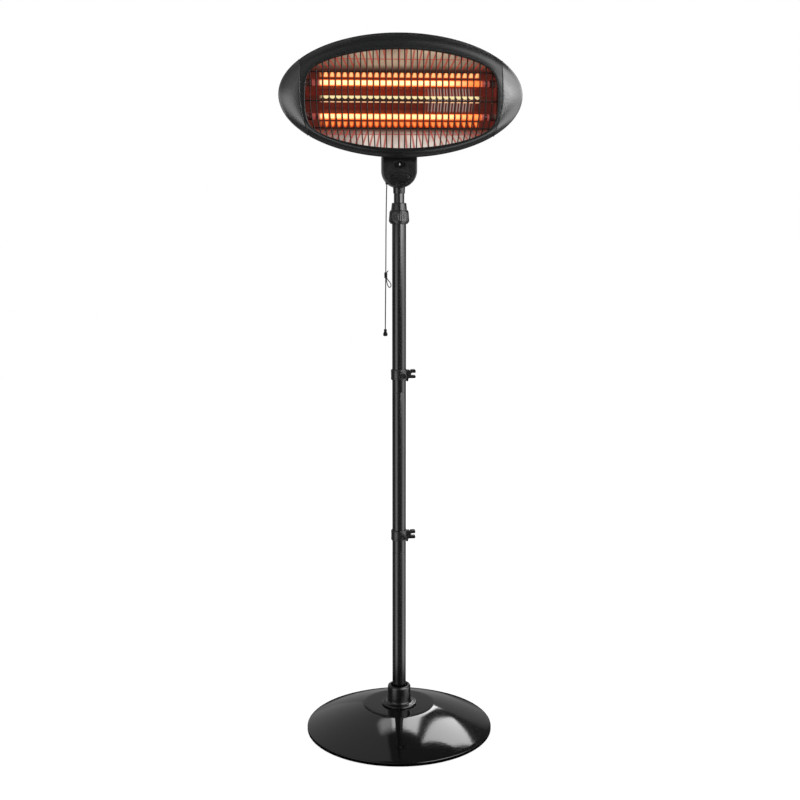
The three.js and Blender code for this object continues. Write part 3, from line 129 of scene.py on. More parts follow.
def resampled(points, count, closed=True):
    """The same outline with points at equal distances along it."""
    p = np.vstack([points, points[:1]]) if closed else np.asarray(points)
    along = np.concatenate([[0], np.cumsum(np.linalg.norm(np.diff(p, axis=0), axis=1))])
    wanted = np.linspace(0, along[-1], count, endpoint=not closed)
    return np.stack([np.interp(wanted, along, p[:, k]) for k in range(p.shape[1])], -1)


def smooth_path(points, steps):
    """Curve through the points: on each stretch the cubic that leaves a point parallel to the
    line between its two neighbours."""
    p = np.asarray(points, float)
    p = np.vstack([2 * p[0] - p[1], p, 2 * p[-1] - p[-2]])
    t = np.linspace(0, 1, steps, endpoint=False)[None, :, None]
    a, b, c, d = p[:-3, None], p[1:-2, None], p[2:-1, None], p[3:, None]
    bend = (2 * a - 5 * b + 4 * c - d) * t**2 + (3 * b - a - 3 * c + d) * t**3
    return np.vstack([(0.5 * (2 * b + (c - a) * t + bend)).reshape(-1, p.shape[1]), p[-2]])


def edge_normals(outline):
    """Unit normals of a closed outline that runs anticlockwise, pointing out of it."""
    along = np.roll(outline, -1, 0) - np.roll(outline, 1, 0)
    out = np.stack([along[:, 1], -along[:, 0]], -1)
    return out / np.linalg.norm(out, axis=1)[:, None]


def oval(half_width, half_height, middle=0.0, count=96):
    turn = np.linspace(0, 2 * np.pi, count, endpoint=False)
    return np.stack([half_width * np.cos(turn), middle + half_height * np.sin(turn)], -1)


# ---------------------------------------------------------------- surfaces as grids of points
def turned(profile, sides=96, centre=(0.0, 0.0), flute=None):
    """Surface of revolution: each profile point (r, z) goes round a vertical axis, at radius
    r minus flute(angle, r, z) where a flute is given."""
    profile = np.asarray(profile, float)
    turn = np.linspace(0, 2 * np.pi, sides, endpoint=False)[None, :]
    r, z = profile[:, :1], profile[:, 1:]
    if flute is not None:
        r = r - flute(turn, r, z)
    x, y = centre[0] + r * np.cos(turn), centre[1] + r * np.sin(turn)
    return np.stack([x, y, np.broadcast_to(z, x.shape)], -1)


def laid_along(grid, axis, place):
    """Turns a surface's upright axis to +X or +Y, and moves it to a place."""
    x, y, z = grid[..., 0], grid[..., 1], grid[..., 2]
    laid = {"X": (z, x, y), "Y": (y, z, x)}[axis]
    return np.stack(laid, -1) + np.asarray(place, float)


def swept(path, radius, sides=8, reference=(0, 1, 0)):
    """Round tube along a path: at each point a circle square to the path, spanned by
    u = path direction x reference and u x path direction; its two ends close to points."""
    path = np.asarray(path, float)
    along = np.gradient(path, axis=0)
    along /= np.linalg.norm(along, axis=1)[:, None]
    u = np.cross(along, np.asarray(reference, float))
    u /= np.linalg.norm(u, axis=1)[:, None]
    v = np.cross(u, along)
    turn = np.linspace(0, 2 * np.pi, sides, endpoint=False)[None, :, None]
    radius = np.broadcast_to(np.asarray(radius, float), (len(path),))[:, None, None]
    rings = path[:, None] + radius * (np.cos(turn) * u[:, None] + np.sin(turn) * v[:, None])
    ends = [np.broadcast_to(path[k], (1, sides, 3)) for k in (0, -1)]
    return np.concatenate([ends[0], rings, ends[1]])


def grid_mesh(name, grids, facing=None, sharp=35):
    """One mesh from surfaces, each (points[rows, columns, 3], rows closed, columns closed).
    Quads join neighbouring points; points that fall together are merged. A closed mesh has its
    faces turned outwards, and an open one turns them to the side that facing points to."""
    places, faces, uvs, start = [], [], [], 0
    for points, rows_closed, columns_closed in grids:
        rows, columns = points.shape[:2]
        i = np.arange(rows - (not rows_closed))[:, None]
        j = np.arange(columns - (not columns_closed))[None, :]
        corners = [(0, 0), (0, 1), (1, 1), (1, 0)]
        index = [((i + a) % rows) * columns + (j + b) % columns for a, b in corners]
        share = [np.broadcast_arrays((j + b) / columns, (i + a) / rows) for a, b in corners]
        faces.append(start + np.stack(index, -1).reshape(-1, 4))
        uvs.append(np.stack([np.stack(s, -1) for s in share], -2).reshape(-1, 2))
        places.append(points.reshape(-1, 3))
        start += rows * columns
    mesh = bpy.data.meshes.new(name)
    mesh.from_pydata(np.concatenate(places) * MM, [], np.concatenate(faces).tolist())
    mesh.uv_layers.new(name="along").data.foreach_set("uv", np.concatenate(uvs).ravel())
    return finished_mesh(mesh, facing, sharp)


def finished_mesh(mesh, facing=None, sharp=35):
    """Merges doubles, drops collapsed faces, turns the faces outwards and shades them smooth."""
    work = bmesh.new()
    work.from_mesh(mesh)
    bmesh.ops.remove_doubles(work, verts=work.verts, dist=2e-6)
    bmesh.ops.dissolve_degenerate(work, edges=work.edges, dist=1e-7)
    if facing is None:
        bmesh.ops.recalc_face_normals(work, faces=work.faces)
    else:
        work.normal_update()
        lean = sum(f.calc_area() * sum(n * w for n, w in zip(f.normal, facing)) for f in work.faces)
        if lean < 0:
            bmesh.ops.reverse_faces(work, faces=work.faces)
    work.to_mesh(mesh)
    work.free()
    return shaded(mesh, sharp)


def shaded(mesh, sharp=35):
    """Smooth shading, but for edges sharper than an angle."""
    mesh.polygons.foreach_set("use_smooth", np.ones(len(mesh.polygons), bool))
    mesh.set_sharp_from_angle(angle=math.radians(sharp))
    return mesh


def prism_mesh(name, prisms, sharp=35):
    """One mesh from straight blocks, each (outline[n, 2], near, far, axis): the outline lies in
    the plane square to the axis, with X-Z on a Y block and Y-Z on an X block."""
    places, faces, start = [], [], 0
    for outline, near, far, axis in prisms:
        a, b = np.asarray(outline, float).T
        count = len(a)
        for level in (near, far):
            depth = np.full(count, float(level))
            layout = {"X": (depth, a, b), "Y": (a, depth, b), "Z": (a, b, depth)}[axis]
            places.append(np.stack(layout, -1))
        i = np.arange(count)
        k = (i + 1) % count
        sides = start + np.stack([i, k, k + count, i + count], -1)
        faces += sides.tolist()
        faces.append((start + i).tolist())
        faces.append((start + count + i[::-1]).tolist())
        start += 2 * count
    mesh = bpy.data.meshes.new(name)
    mesh.from_pydata(np.concatenate(places) * MM, [], faces)
    return finished_mesh(mesh, sharp=sharp)


def put(mesh, body, slot, *nodes, wall=0.0, bevel=0.0, material=None):
    """Makes a piece of a mesh: it moves with a body, has a finish, and stands for solids."""
    piece = placed(mesh.name, mesh)
    mesh.materials.append(material or MATERIALS[slot])
    if wall:
        thick = piece.modifiers.new("wall", "SOLIDIFY")
        thick.thickness = wall * MM
        thick.offset = -1
        thick.use_even_offset = True
    if bevel:
        soft = piece.modifiers.new("edges", "BEVEL")
        soft.width = bevel * MM
        soft.segments = 3
        soft.limit_method = "ANGLE"
        soft.angle_limit = math.radians(40)
        soft.harden_normals = True
    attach(piece, body)
    if nodes:
        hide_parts(*nodes)
    return piece


def put_grid(
    name, grid, body, slot, *nodes, closed=(False, True), facing=None, sharp=35, **look
):
    """A piece of one surface; closed tells whether its rows and its columns close up."""
    return put(grid_mesh(name, [(grid, *closed)], facing, sharp), body, slot, *nodes, **look)


def put_turned(name, profile, sides, body, slot, node, ring=True, centre=(0.0, 0.0), **look):
    """A turned piece: a ring's profile is a closed outline, any other one ends on the axis."""
    grid = turned(profile, sides, centre, look.pop("flute", None))
    return put_grid(name, grid, body, slot, node, closed=(ring, True), **look)


def upright_axis(low, high):
    """X and Y of a solid's middle."""
    return (low[0] + high[0]) / 2, (low[1] + high[1]) / 2


# ---------------------------------------------------------------- finishes
class Nodes:
    """Builds the node tree of a finish, of the floor or of the studio."""

    def __init__(self, tree):
        self.tree = tree

    def node(self, kind, inputs=(), **settings):
        made = self.tree.nodes.new(kind)
        for key, value in settings.items():
            setattr(made, key, value)
        for key, value in dict(inputs).items():
            if hasattr(value, "is_output"):
                self.tree.links.new(value, made.inputs[key])
            else:
                made.inputs[key].default_value = value
        return made

    def math(self, operation, a, b=0.0):
        return self.node("ShaderNodeMath", {0: a, 1: b}, operation=operation).outputs[0]

    def product(self, value, *others):
        for other in others:
            value = self.math("MULTIPLY", value, other)
        return value

    def distance(self, a, b):
        return self.math("ABSOLUTE", self.math("SUBTRACT", a, b))

    def axes(self, vector):
        return self.node("ShaderNodeSeparateXYZ", {"Vector": vector}).outputs

    def ramp(self, value, low, high, start=0.0, end=1.0, smooth=False):
        """Value taken from low..high to start..end, and held outside that range."""
        kind = "SMOOTHSTEP" if smooth else "LINEAR"
        inputs = {"Value": value, "From Min": low, "From Max": high, "To Min": start, "To Max": end}
        return self.node("ShaderNodeMapRange", inputs, interpolation_type=kind).outputs["Result"]

    def between(self, value, low, high, soft):
        """1 where low < value < high and 0 outside, with soft steps of the given width."""
        rise = self.ramp(value, low - soft / 2, low + soft / 2, smooth=True)
        fall = self.ramp(value, high - soft / 2, high + soft / 2, 1, 0, smooth=True)
        return self.product(rise, fall)

    def blend(self, share, first, second):
        """Colour between two colours."""
        mix = self.node("ShaderNodeMix", data_type="RGBA")
        for index, value in ((0, share), (6, first), (7, second)):
            if hasattr(value, "is_output"):
                self.tree.links.new(value, mix.inputs[index])
            else:
                mix.inputs[index].default_value = (*value, 1) if index else value
        return mix.outputs[2]

    def bands(self, value, low, high, stops):
        """Colour that goes through the stops, each (position between low and high, colour)."""
        share = self.ramp(value, low, high)
        ramp = self.node("ShaderNodeValToRGB", {"Fac": share})
        while len(ramp.color_ramp.elements) < len(stops):
            ramp.color_ramp.elements.new(0.5)
        for element, (place, color) in zip(ramp.color_ramp.elements, stops):
            element.position = (place - low) / (high - low)
            element.color = (*color, 1)
        return ramp.outputs["Color"]


class Finish(Nodes):
    """A material whose colour, roughness and relief are patterns over the piece."""

    def __init__(self, name, color, roughness, metallic=0.0):
        self.material = bpy.data.materials.new(name)
        self.material.use_nodes = True
        super().__init__(self.material.node_tree)
        self.shader = self.tree.nodes["Principled BSDF"]
        self.set("Base Color", (*color, 1))
        self.set("Roughness", roughness)
        self.set("Metallic", metallic)
        self.material.diffuse_color = (*color, 1)

    def set(self, socket, value):
        self.shader.inputs[socket].default_value = value

    def wire(self, output, socket):
        self.tree.links.new(output, self.shader.inputs[socket])

    def place(self, stretch=(1, 1, 1), uv=False):
        source = self.node("ShaderNodeTexCoord").outputs["UV" if uv else "Object"]
        inputs = {"Vector": source, "Scale": stretch}
        return self.node("ShaderNodeMapping", inputs).outputs["Vector"]

    def noise(self, scale, detail=3.0, stretch=(1, 1, 1), uv=False):
        inputs = {"Vector": self.place(stretch, uv), "Scale": scale, "Detail": detail}
        return self.node("ShaderNodeTexNoise", inputs).outputs["Fac"]

    def relief(self, height, distance, strength=1.0):
        """Bumps of the given depth in metres, added on top of those already there."""
        inputs = {"Height": height, "Distance": distance, "Strength": strength}
        bump = self.node("ShaderNodeBump", inputs)
        old = self.shader.inputs["Normal"].links
        if old:
            self.tree.links.new(old[0].from_socket, bump.inputs["Normal"])
        self.wire(bump.outputs["Normal"], "Normal")


def gloss_paint():
    """Deep black stoving enamel: faint orange peel, a few dull patches from handling."""
    paint = Finish("gloss_paint", (0.004, 0.004, 0.0045), 0.1)
    patches = paint.ramp(paint.noise(9, 4), 0.35, 0.7)
    paint.wire(paint.ramp(patches, 0, 1, 0.05, 0.09), "Roughness")
    paint.wire(paint.blend(patches, (0.0035, 0.0035, 0.004), (0.0055, 0.0055, 0.006)), "Base Color")
    paint.relief(paint.noise(160, 2), 0.00003)
    return paint.material


def pole_paint():
    """Satin powder coat on drawn steel tube, with a very fine grain and faint drawing lines."""
    paint = Finish("pole_paint", (0.006, 0.006, 0.0063), 0.24)
    lines = paint.noise(60, 2, stretch=(6, 6, 0.06))
    paint.wire(paint.ramp(lines, 0.3, 0.7, 0.2, 0.27), "Roughness")
    dark, light = (0.005, 0.005, 0.0053), (0.008, 0.008, 0.0083)
    paint.wire(paint.blend(paint.noise(30, 3), dark, light), "Base Color")
    paint.relief(paint.noise(1400, 3), 0.00001)
    return paint.material


def grained_plastic(name, color, roughness, grain):
    """Moulded plastic with a spark-eroded grain that is finer than a millimetre."""
    plastic = Finish(name, color, roughness)
    cells = plastic.noise(grain, 4)
    lighter = tuple(1.35 * c for c in color)
    plastic.wire(plastic.blend(cells, color, lighter), "Base Color")
    plastic.wire(plastic.ramp(cells, 0.3, 0.7, roughness - 0.06, roughness + 0.08), "Roughness")
    plastic.relief(cells, 0.00012)
    return plastic.material


def satin_plastic(name, sheen):
    """The head's frame and caps, and the badge: satin, with fine moulded grain."""
    satin = Finish(name, (0.009, 0.0095, 0.01), 0.24)
    cells = satin.noise(2600, 4)
    satin.wire(satin.blend(cells, (0.009, 0.0095, 0.01), (0.012, 0.0125, 0.013)), "Base Color")
    satin.wire(satin.ramp(cells, 0.3, 0.7, 0.19, 0.3), "Roughness")
    satin.set("Specular IOR Level", sheen)
    satin.relief(cells, 0.0001)
    return satin.material


def soft_rubber():
    rubber = Finish("soft_rubber", (0.008, 0.008, 0.008), 0.75)
    rubber.set("Specular IOR Level", 0.15)
    dust = rubber.ramp(rubber.noise(70, 5), 0.5, 0.75)
    rubber.wire(rubber.blend(dust, (0.004, 0.004, 0.004), (0.012, 0.012, 0.011)), "Base Color")
    rubber.relief(rubber.noise(900, 2), 0.0001)
    return rubber.material


def concrete():
    stone = Finish("concrete", (0.3, 0.29, 0.27), 0.9)
    inputs = {"Vector": stone.place(), "Scale": 180.0}
    grit = stone.node("ShaderNodeTexVoronoi", inputs).outputs["Distance"]
    clouds = stone.noise(25, 6)
    stone.wire(stone.blend(clouds, (0.24, 0.23, 0.21), (0.36, 0.35, 0.33)), "Base Color")
    stone.relief(grit, 0.0006)
    return stone.material


def zinc_steel(name="zinc_steel", tone=1.0):
    """Zinc plate with soft cloudy spangle and fine turning marks; a low tone is blackened."""
    zinc = Finish(name, (0.42 * tone, 0.42 * tone, 0.43 * tone), 0.32, metallic=1)
    clouds = zinc.noise(260, 4)
    dark, light = (0.36 * tone, 0.36 * tone, 0.38 * tone), (0.5 * tone, 0.5 * tone, 0.5 * tone)
    zinc.wire(zinc.blend(clouds, dark, light), "Base Color")
    zinc.wire(zinc.ramp(clouds, 0.3, 0.7, 0.24, 0.42), "Roughness")
    zinc.relief(zinc.noise(2500, 2), 0.00003)
    return zinc.material


def guard_wire():
    """Dark oxide on steel wire, a little browner where the heat reaches it."""
    wire = Finish("guard_wire", (0.02, 0.013, 0.01), 0.42, metallic=0.6)
    bloom = wire.ramp(wire.noise(90, 4), 0.35, 0.7)
    wire.wire(wire.blend(bloom, (0.006, 0.0045, 0.004), (0.022, 0.010, 0.007)), "Base Color")
    wire.wire(wire.ramp(bloom, 0, 1, 0.34, 0.5), "Roughness")
    wire.relief(wire.noise(1600, 2), 0.00004)
    return wire.material


def white_ceramic():
    """Steatite, dark red and brown towards the tube's hot end."""
    stone = Finish("white_ceramic", (0.4, 0.3, 0.25), 0.6)
    pale = stone.blend(stone.noise(140, 4), (0.38, 0.28, 0.23), (0.5, 0.42, 0.36))
    split = stone.axes(stone.place())
    red_brown_share = stone.ramp(stone.math("ABSOLUTE", split["X"]), 0.196, 0.182, smooth=True)
    stone.wire(stone.blend(red_brown_share, pale, (0.12, 0.03, 0.025)), "Base Color")
    stone.relief(stone.noise(1500, 3), 0.00006)
    return stone.material


BRAID_AROUND = 4  # strands of one direction round the cord
BRAID_ALONG = 150  # and along its length


def cord_fabric():
    """Braided sleeve: two sets of strands that wind round the cord in opposite directions."""
    cord = Finish("cord_fabric", (0.02, 0.02, 0.02), 0.7)
    split = cord.axes(cord.place(uv=True))
    around = cord.product(split["X"], BRAID_AROUND * 2 * math.pi)
    along = cord.product(split["Y"], BRAID_ALONG * 2 * math.pi)
    strands = [cord.math("SINE", cord.math(way, along, around)) for way in ("ADD", "SUBTRACT")]
    weave = cord.ramp(cord.math("MAXIMUM", *strands), -0.2, 1)
    # The grooves between the strands are darker than the strands: painted shade.
    cord.wire(cord.blend(weave, (0.004, 0.004, 0.004), (0.016, 0.016, 0.017)), "Base Color")
    cord.set("Specular IOR Level", 0.2)
    cord.relief(weave, 0.00015)
    return cord.material


def pale_lens():
    lens = Finish("pale_lens", (0.6, 0.6, 0.57), 0.15)
    inputs = {"Vector": lens.place(), "Scale": 900.0}
    ribs = lens.node("ShaderNodeTexWave", inputs, bands_direction="Z")
    lens.wire(lens.blend(lens.noise(300), (0.5, 0.5, 0.47), (0.72, 0.72, 0.69)), "Base Color")
    lens.relief(ribs.outputs["Fac"], 0.00008)
    # The faint white glow is painted light that keeps the lens pale in its recess.
    lens.set("Emission Color", (1, 1, 0.95, 1))
    lens.set("Emission Strength", 0.22)
    return lens.material


def middle_height(node):
    return float(np.mean([corner[2] for corner in span(node)]))


HEAD_Z = middle_height("bezel")
HEAD_Y = -62.0  # plane of the head's rim
TUBE_Y = HEAD_Y + 10
TUBE_Z = {level: middle_height(f"quartz_tube_{level}") for level in ("upper", "lower")}
RIDGE_Z = (TUBE_Z["upper"] + TUBE_Z["lower"]) / 2
QUARTZ_R = 6.0
COIL_HALF = span("heating_coil_upper")[1][0]
WIRE_PITCH = 12.4
GUARD_GAP = 18.0  # from the guard back to the tubes
TROUGH_GAP = 34.0  # from the guard back to the reflector's troughs


class Heat(Finish):
    """A finish of the hot parts and the reflector behind them, with painted light. Its patterns
    are lit cells between the guard's wires, with painted shade of the wires between the cells: the
    cell number is (x - shift) / pitch, and across a cell u runs from -1 to 1. Pitch and shift are
    fixed values fitted to the photograph's viewpoint, worked out from where its camera stands:
    from there the wires cover a surface behind them at a slightly larger pitch. They are off
    the wires' own pitch by 0.7% on the tubes and 1.4% on the reflector, from every side."""

    def __init__(self, name, color, roughness, metallic, behind):
        super().__init__(name, color, roughness, metallic)
        split = self.axes(self.place())
        self.x, self.z = split["X"], split["Z"]
        spread = behind * MM / CAMERA_DISTANCE
        self.pitch = WIRE_PITCH * MM * (1 + spread)
        self.shift = CAMERA_DISTANCE * math.sin(math.radians(CAMERA_YAW)) * spread

    def cells(self, x=None):
        """Distance |u| from the middle of a cell."""
        along = self.math("SUBTRACT", self.x if x is None else x, self.shift)
        cell = self.math("DIVIDE", along, self.pitch)
        nearest = self.math("ROUND", cell)
        return self.product(self.distance(cell, nearest), 2)

    def disc(self, u, flat, height, width):
        """Round-topped cells: inside where (u / w)^2 + v^2.6 < 1 and v > 0, with v counted from the
        flat side in units of the height, upwards or downwards."""
        v = self.math("DIVIDE", self.math("SUBTRACT", self.z, flat * MM), height * MM)
        across = self.math("POWER", self.math("DIVIDE", u, width), 2)
        square = self.math("ADD", across, self.math("POWER", self.math("ABSOLUTE", v), 2.6))
        inside = self.ramp(square, 1.15, 0.6, smooth=True)
        return self.product(inside, self.ramp(v, -0.08, 0.08))

    def glow(self, color, strength=1.0):
        self.wire(color, "Emission Color")
        self.set("Emission Strength", strength)


# Colours of the tubes' painted glow and of the painted reflections on the reflector.
DARK_RED = (0.24, 0.012, 0.004)
EMBER = (0.03, 0.005, 0.003)
ORANGE = (0.85, 0.10, 0.015)
CREAM = (1.0, 0.86, 0.42)


def mirror_sheet():
    """Bright rolled aluminium with faint rolling lines along X. Over it, as glow, is a painted
    reflection of the tubes' light and the guard: half discs above the upper tube and below the
    lower one, half moons at the ridge, dull red between, a painted silver highlight right of the
    middle, and on the flares red images of the wires that fan outwards. The flares' own colour is
    paler than the troughs', which is painted light too."""
    sheet = Heat("mirror_sheet", (0.3, 0.25, 0.2), 0.2, 1, TROUGH_GAP)
    lines = sheet.noise(40, 3, stretch=(0.05, 5, 5))
    sheet.wire(sheet.ramp(lines, 0.3, 0.7, 0.14, 0.28), "Roughness")
    sheet.relief(lines, 0.00004)
    # Painted reflection by height: pale on the flares at top and foot, red bands between them.
    stops = [
        (1234, (0.85, 0.78, 0.72)), (1262, (0.72, 0.58, 0.5)), (1272, (0.16, 0.09, 0.07)),
        (1277, EMBER), (1284, DARK_RED), (1308, (0.12, 0.009, 0.005)),
        (1322, (0.09, 0.012, 0.008)), (1328, EMBER), (1338, EMBER), (1343, DARK_RED),
        (1358, (0.18, 0.012, 0.005)), (1374, DARK_RED), (1388, EMBER),
        (1393, (0.08, 0.05, 0.035)), (1400, (0.40, 0.29, 0.19)), (1430, (0.62, 0.46, 0.33)),
    ]
    bands = sheet.bands(sheet.z, 1.23, 1.435, [(z * MM, color) for z, color in stops])
    aside = sheet.math("ABSOLUTE", sheet.x)
    # The painted reflection dims to a dark red towards both ends.
    dim_ends = sheet.ramp(aside, 0.07, 0.17, 0, 0.75, smooth=True)
    # Random patches where the painted reflection is dimmer.
    uneven = sheet.noise(22, 4, stretch=(1, 0.2, 1))
    bands = sheet.blend(dim_ends, bands, (0.07, 0.012, 0.009))
    bands = sheet.blend(sheet.ramp(uneven, 0.3, 0.75, 0, 0.7), bands, (0.06, 0.02, 0.015))
    u = sheet.cells()
    # A painted highlight: silver bars right of the middle, in the cells between the wires.
    silver_highlight = sheet.product(
        sheet.between(sheet.x, 0.055, 0.14, 0.02),
        sheet.between(u, 0.25, 0.62, 0.2),
        sheet.between(sheet.z, 1.312, 1.357, 0.006),
        0.7,
    )
    bands = sheet.blend(silver_highlight, bands, (0.4, 0.34, 0.3))
    # Painted reflections of the wires on the flares, fanning outwards, and of two level wires as
    # red lines.
    fan = sheet.distance(sheet.z, RIDGE_Z * MM)
    fan = sheet.math("ADD", sheet.product(sheet.math("SUBTRACT", fan, 0.06), 5.5), 1)
    image = sheet.cells(sheet.math("DIVIDE", sheet.x, fan))
    image = sheet.ramp(image, 0.62, 0.85, smooth=True)
    for height in (1.4103, 1.2655):
        rail = sheet.between(sheet.z, height - 0.0009, height + 0.0009, 0.001)
        image = sheet.math("MAXIMUM", image, rail)
    flares = sheet.math("ADD", sheet.ramp(sheet.z, 1.391, 1.394), sheet.ramp(sheet.z, 1.275, 1.272))
    image = sheet.product(image, flares, 0.8)
    bands = sheet.blend(image, bands, (0.36, 0.022, 0.012))
    # Painted reflections of the tubes in the cells between the wires: half discs above and below,
    # half moons at the ridge.
    inside = sheet.ramp(aside, 0.163, 0.15, smooth=True)
    for flat, height, width, color in (
        (1377, 11, 0.85, ORANGE),
        (1378, 8.5, 0.6, (1.0, 0.62, 0.24)),
        (1292, -13, 0.85, ORANGE),
        (1291, -9, 0.55, (1.0, 0.32, 0.08)),
        (1341, -7, 0.9, (1.0, 0.82, 0.42)),
        (1327.5, 4, 0.75, (0.85, 0.5, 0.28)),
    ):
        lit = sheet.product(sheet.disc(u, flat, height, width), inside)
        bands = sheet.blend(lit, bands, color)
    # The painted reflection is given as glow.
    sheet.glow(bands)
    # Own colour paler on the flares than in the troughs: painted light as well.
    sheet.wire(sheet.blend(flares, (0.06, 0.02, 0.012), (0.16, 0.13, 0.1)), "Base Color")
    return sheet.material


def tube_heat(name, roughness, square_width, edge):
    """The tubes' glow, as a lit square for every cell, cream in the middle and orange at its
    edges, with painted shade of the guard's wires in the gaps between squares. It turns orange
    towards the right, the lower tube a little more orange throughout, and at both ends it is a
    dull red painted glow, with paler painted highlights in the middle of each cell."""
    made = Heat(name, (0.1, 0.01, 0.008), roughness, 0, GUARD_GAP)
    away = made.distance(made.z, RIDGE_Z * MM)
    half = (TUBE_Z["upper"] - TUBE_Z["lower"]) / 2
    off = made.math("DIVIDE", made.distance(away, half * MM), QUARTZ_R * MM)
    # Lit squares of glow; the gaps between them are painted shade of the guard's wires.
    u = made.cells()
    core = made.product(
        made.ramp(u, square_width + 0.12, square_width, smooth=True),
        made.ramp(off, edge + 0.3, edge, smooth=True),
    )
    rim = made.product(
        made.ramp(u, 0.95, 0.75, smooth=True), made.ramp(off, 1.3, 0.95, smooth=True)
    )
    warm = made.blend(made.ramp(made.x, 0.075, 0.15, smooth=True), CREAM, (1.0, 0.24, 0.05))
    lower = made.ramp(made.z, RIDGE_Z * MM + 0.001, RIDGE_Z * MM - 0.001)
    warm = made.blend(made.product(lower, 0.3), warm, (1.0, 0.46, 0.14))
    color = made.blend(rim, (0.16, 0.012, 0.006), (0.85, 0.16, 0.03))
    color = made.blend(core, color, warm)
    # At both ends a dull red painted glow, paler in the middle of each cell: painted highlights.
    ends = made.ramp(made.math("ABSOLUTE", made.x), 0.157, 0.164, smooth=True)
    dull = made.blend(made.ramp(u, 0.75, 0.5), (0.07, 0.008, 0.007), (0.36, 0.07, 0.06))
    color = made.blend(ends, color, dull)
    made.wire(color, "Base Color")
    made.wire(color, "Emission Color")
    made.wire(made.ramp(ends, 0, 1, 1.1, 0.6), "Emission Strength")
    return made


def hot_quartz():
    glass = tube_heat("hot_quartz", 0.15, 0.6, 0.55)
    glass.set("Alpha", 0.85)
    return glass.material


def hot_coil():
    return tube_heat("hot_coil", 0.4, 0.72, 0.9).material


MATERIALS = {
    "gloss_paint": gloss_paint(),
    "pole_paint": pole_paint(),
    "black_plastic": grained_plastic("black_plastic", (0.009, 0.009, 0.01), 0.26, 1800),
    "satin_plastic": satin_plastic("satin_plastic", 0.35),
    "soft_rubber": soft_rubber(),
    "concrete": concrete(),
    "zinc_steel": zinc_steel(),
    "mirror_sheet": mirror_sheet(),
    "guard_wire": guard_wire(),
    "hot_quartz": hot_quartz(),
    "hot_coil": hot_coil(),
    "white_ceramic": white_ceramic(),
    "cord_fabric": cord_fabric(),
    "pale_lens": pale_lens(),
}
BLACKENED = zinc_steel("blackened_steel", 0.1)
SHEET_BACK = zinc_steel("sheet_back", 0.45)
CAP_PLASTIC = satin_plastic("cap_plastic", 0.85)
POLISHED = grained_plastic("polished_plastic", (0.005, 0.005, 0.0055), 0.14, 2600)


def dress_solids():
    """Gives every solid the finish of its slot; those that a piece stands for are hidden later."""
    for part in frame["record"]["subparts"]:
        solid = frame["nodes"][part["node"]]
        for slot in solid.material_slots:
            slot.material = MATERIALS[part["material_slot"]]


# ---------------------------------------------------------------- pull cord, knot and bell
KNOT_X = -28.15
KNOT_Y = -10.0
KNOT_TOP = 991.5
KNOT_FOOT = 978.0
KNOT_TURNS = 8


def make_pull_cord():
    path = smooth_path(np.array(CORD_ROUTE) / MM, 12)
    grid = swept(path, CORD_RADIUS, 12)
    cord = put_grid("braided_cord", grid, "pull", "cord_fabric", "pull_cord")
    knot = make_knot()
    bell = make_bell()


def make_knot():
    """The cord's tail winds down round the cord as a helix of radius r + strand, runs out in a
    drooping loop and comes back up into the windings."""
    turn = np.linspace(0, KNOT_TURNS * 2 * np.pi, KNOT_TURNS * 16)
    swell = 1 + 0.15 * np.sin(np.linspace(0, np.pi, len(turn)))
    radius = (CORD_RADIUS + KNOT_STRAND) * swell
    height = np.linspace(KNOT_TOP - 1, KNOT_FOOT + 1, len(turn))
    coil = np.stack([KNOT_X + radius * np.cos(turn), KNOT_Y - radius * np.sin(turn), height], -1)
    tail = [(KNOT_X + x, KNOT_Y - 0.8, z) for x, z in ((5, 994.4), (3.4, 992.6))]
    loop = [
        (4.5, 1.6, 975.0), (9.2, 2.0, 969.0), (10.6, 2.1, 964.6), (9.4, 2.1, 960.8),
        (6.2, 2.2, 960.4), (3.6, 2.3, 965.0), (1.6, 2.3, 973.0), (0.6, 1.9, 979.5),
    ]
    droop = [coil[-1]] + [(KNOT_X + x, KNOT_Y - y, z) for x, y, z in loop]
    tail, droop = smooth_path([*tail, coil[0]], 6), smooth_path(droop, 8)
    path = np.vstack([tail[:-1], coil, droop[1:]])
    grid = swept(path, KNOT_STRAND, 10, reference=(0.2, 0.1, 1))
    return put_grid("slip_knot", grid, "pull", "cord_fabric", "cord_knot")


def make_bell():
    low, high = span("pull_bell")
    top, foot, width = high[2], low[2], (high[0] - low[0]) / 2
    profile = rounded(
        [
            (0, top), (2.4, top), (3.1, top - 1.4), (3.0, top - 4.6), (2.5, top - 5.4),
            (3.2, top - 6.2), (width - 0.1, foot + 4.6), (width, foot + 2.0),
            (width - 1.6, foot), (1.6, foot), (0, foot + 0.3),
        ],
        [0, 0.7, 0.7, 0.5, 0.5, 0.7, 2, 1.6, 1.6, 0.8, 0],
        closed=False,
    )
    look = {"centre": upright_axis(low, high), "material": MATERIALS["soft_rubber"]}
    return put_turned("cord_bell", profile, 48, "pull", "black_plastic", "pull_bell", False, **look)


# ---------------------------------------------------------------- base and hub
SHEET = 1.6
BOLT_BORE_R = 5.4
DOME_BULGE = 2.5
PLATEAU_R = 79.0


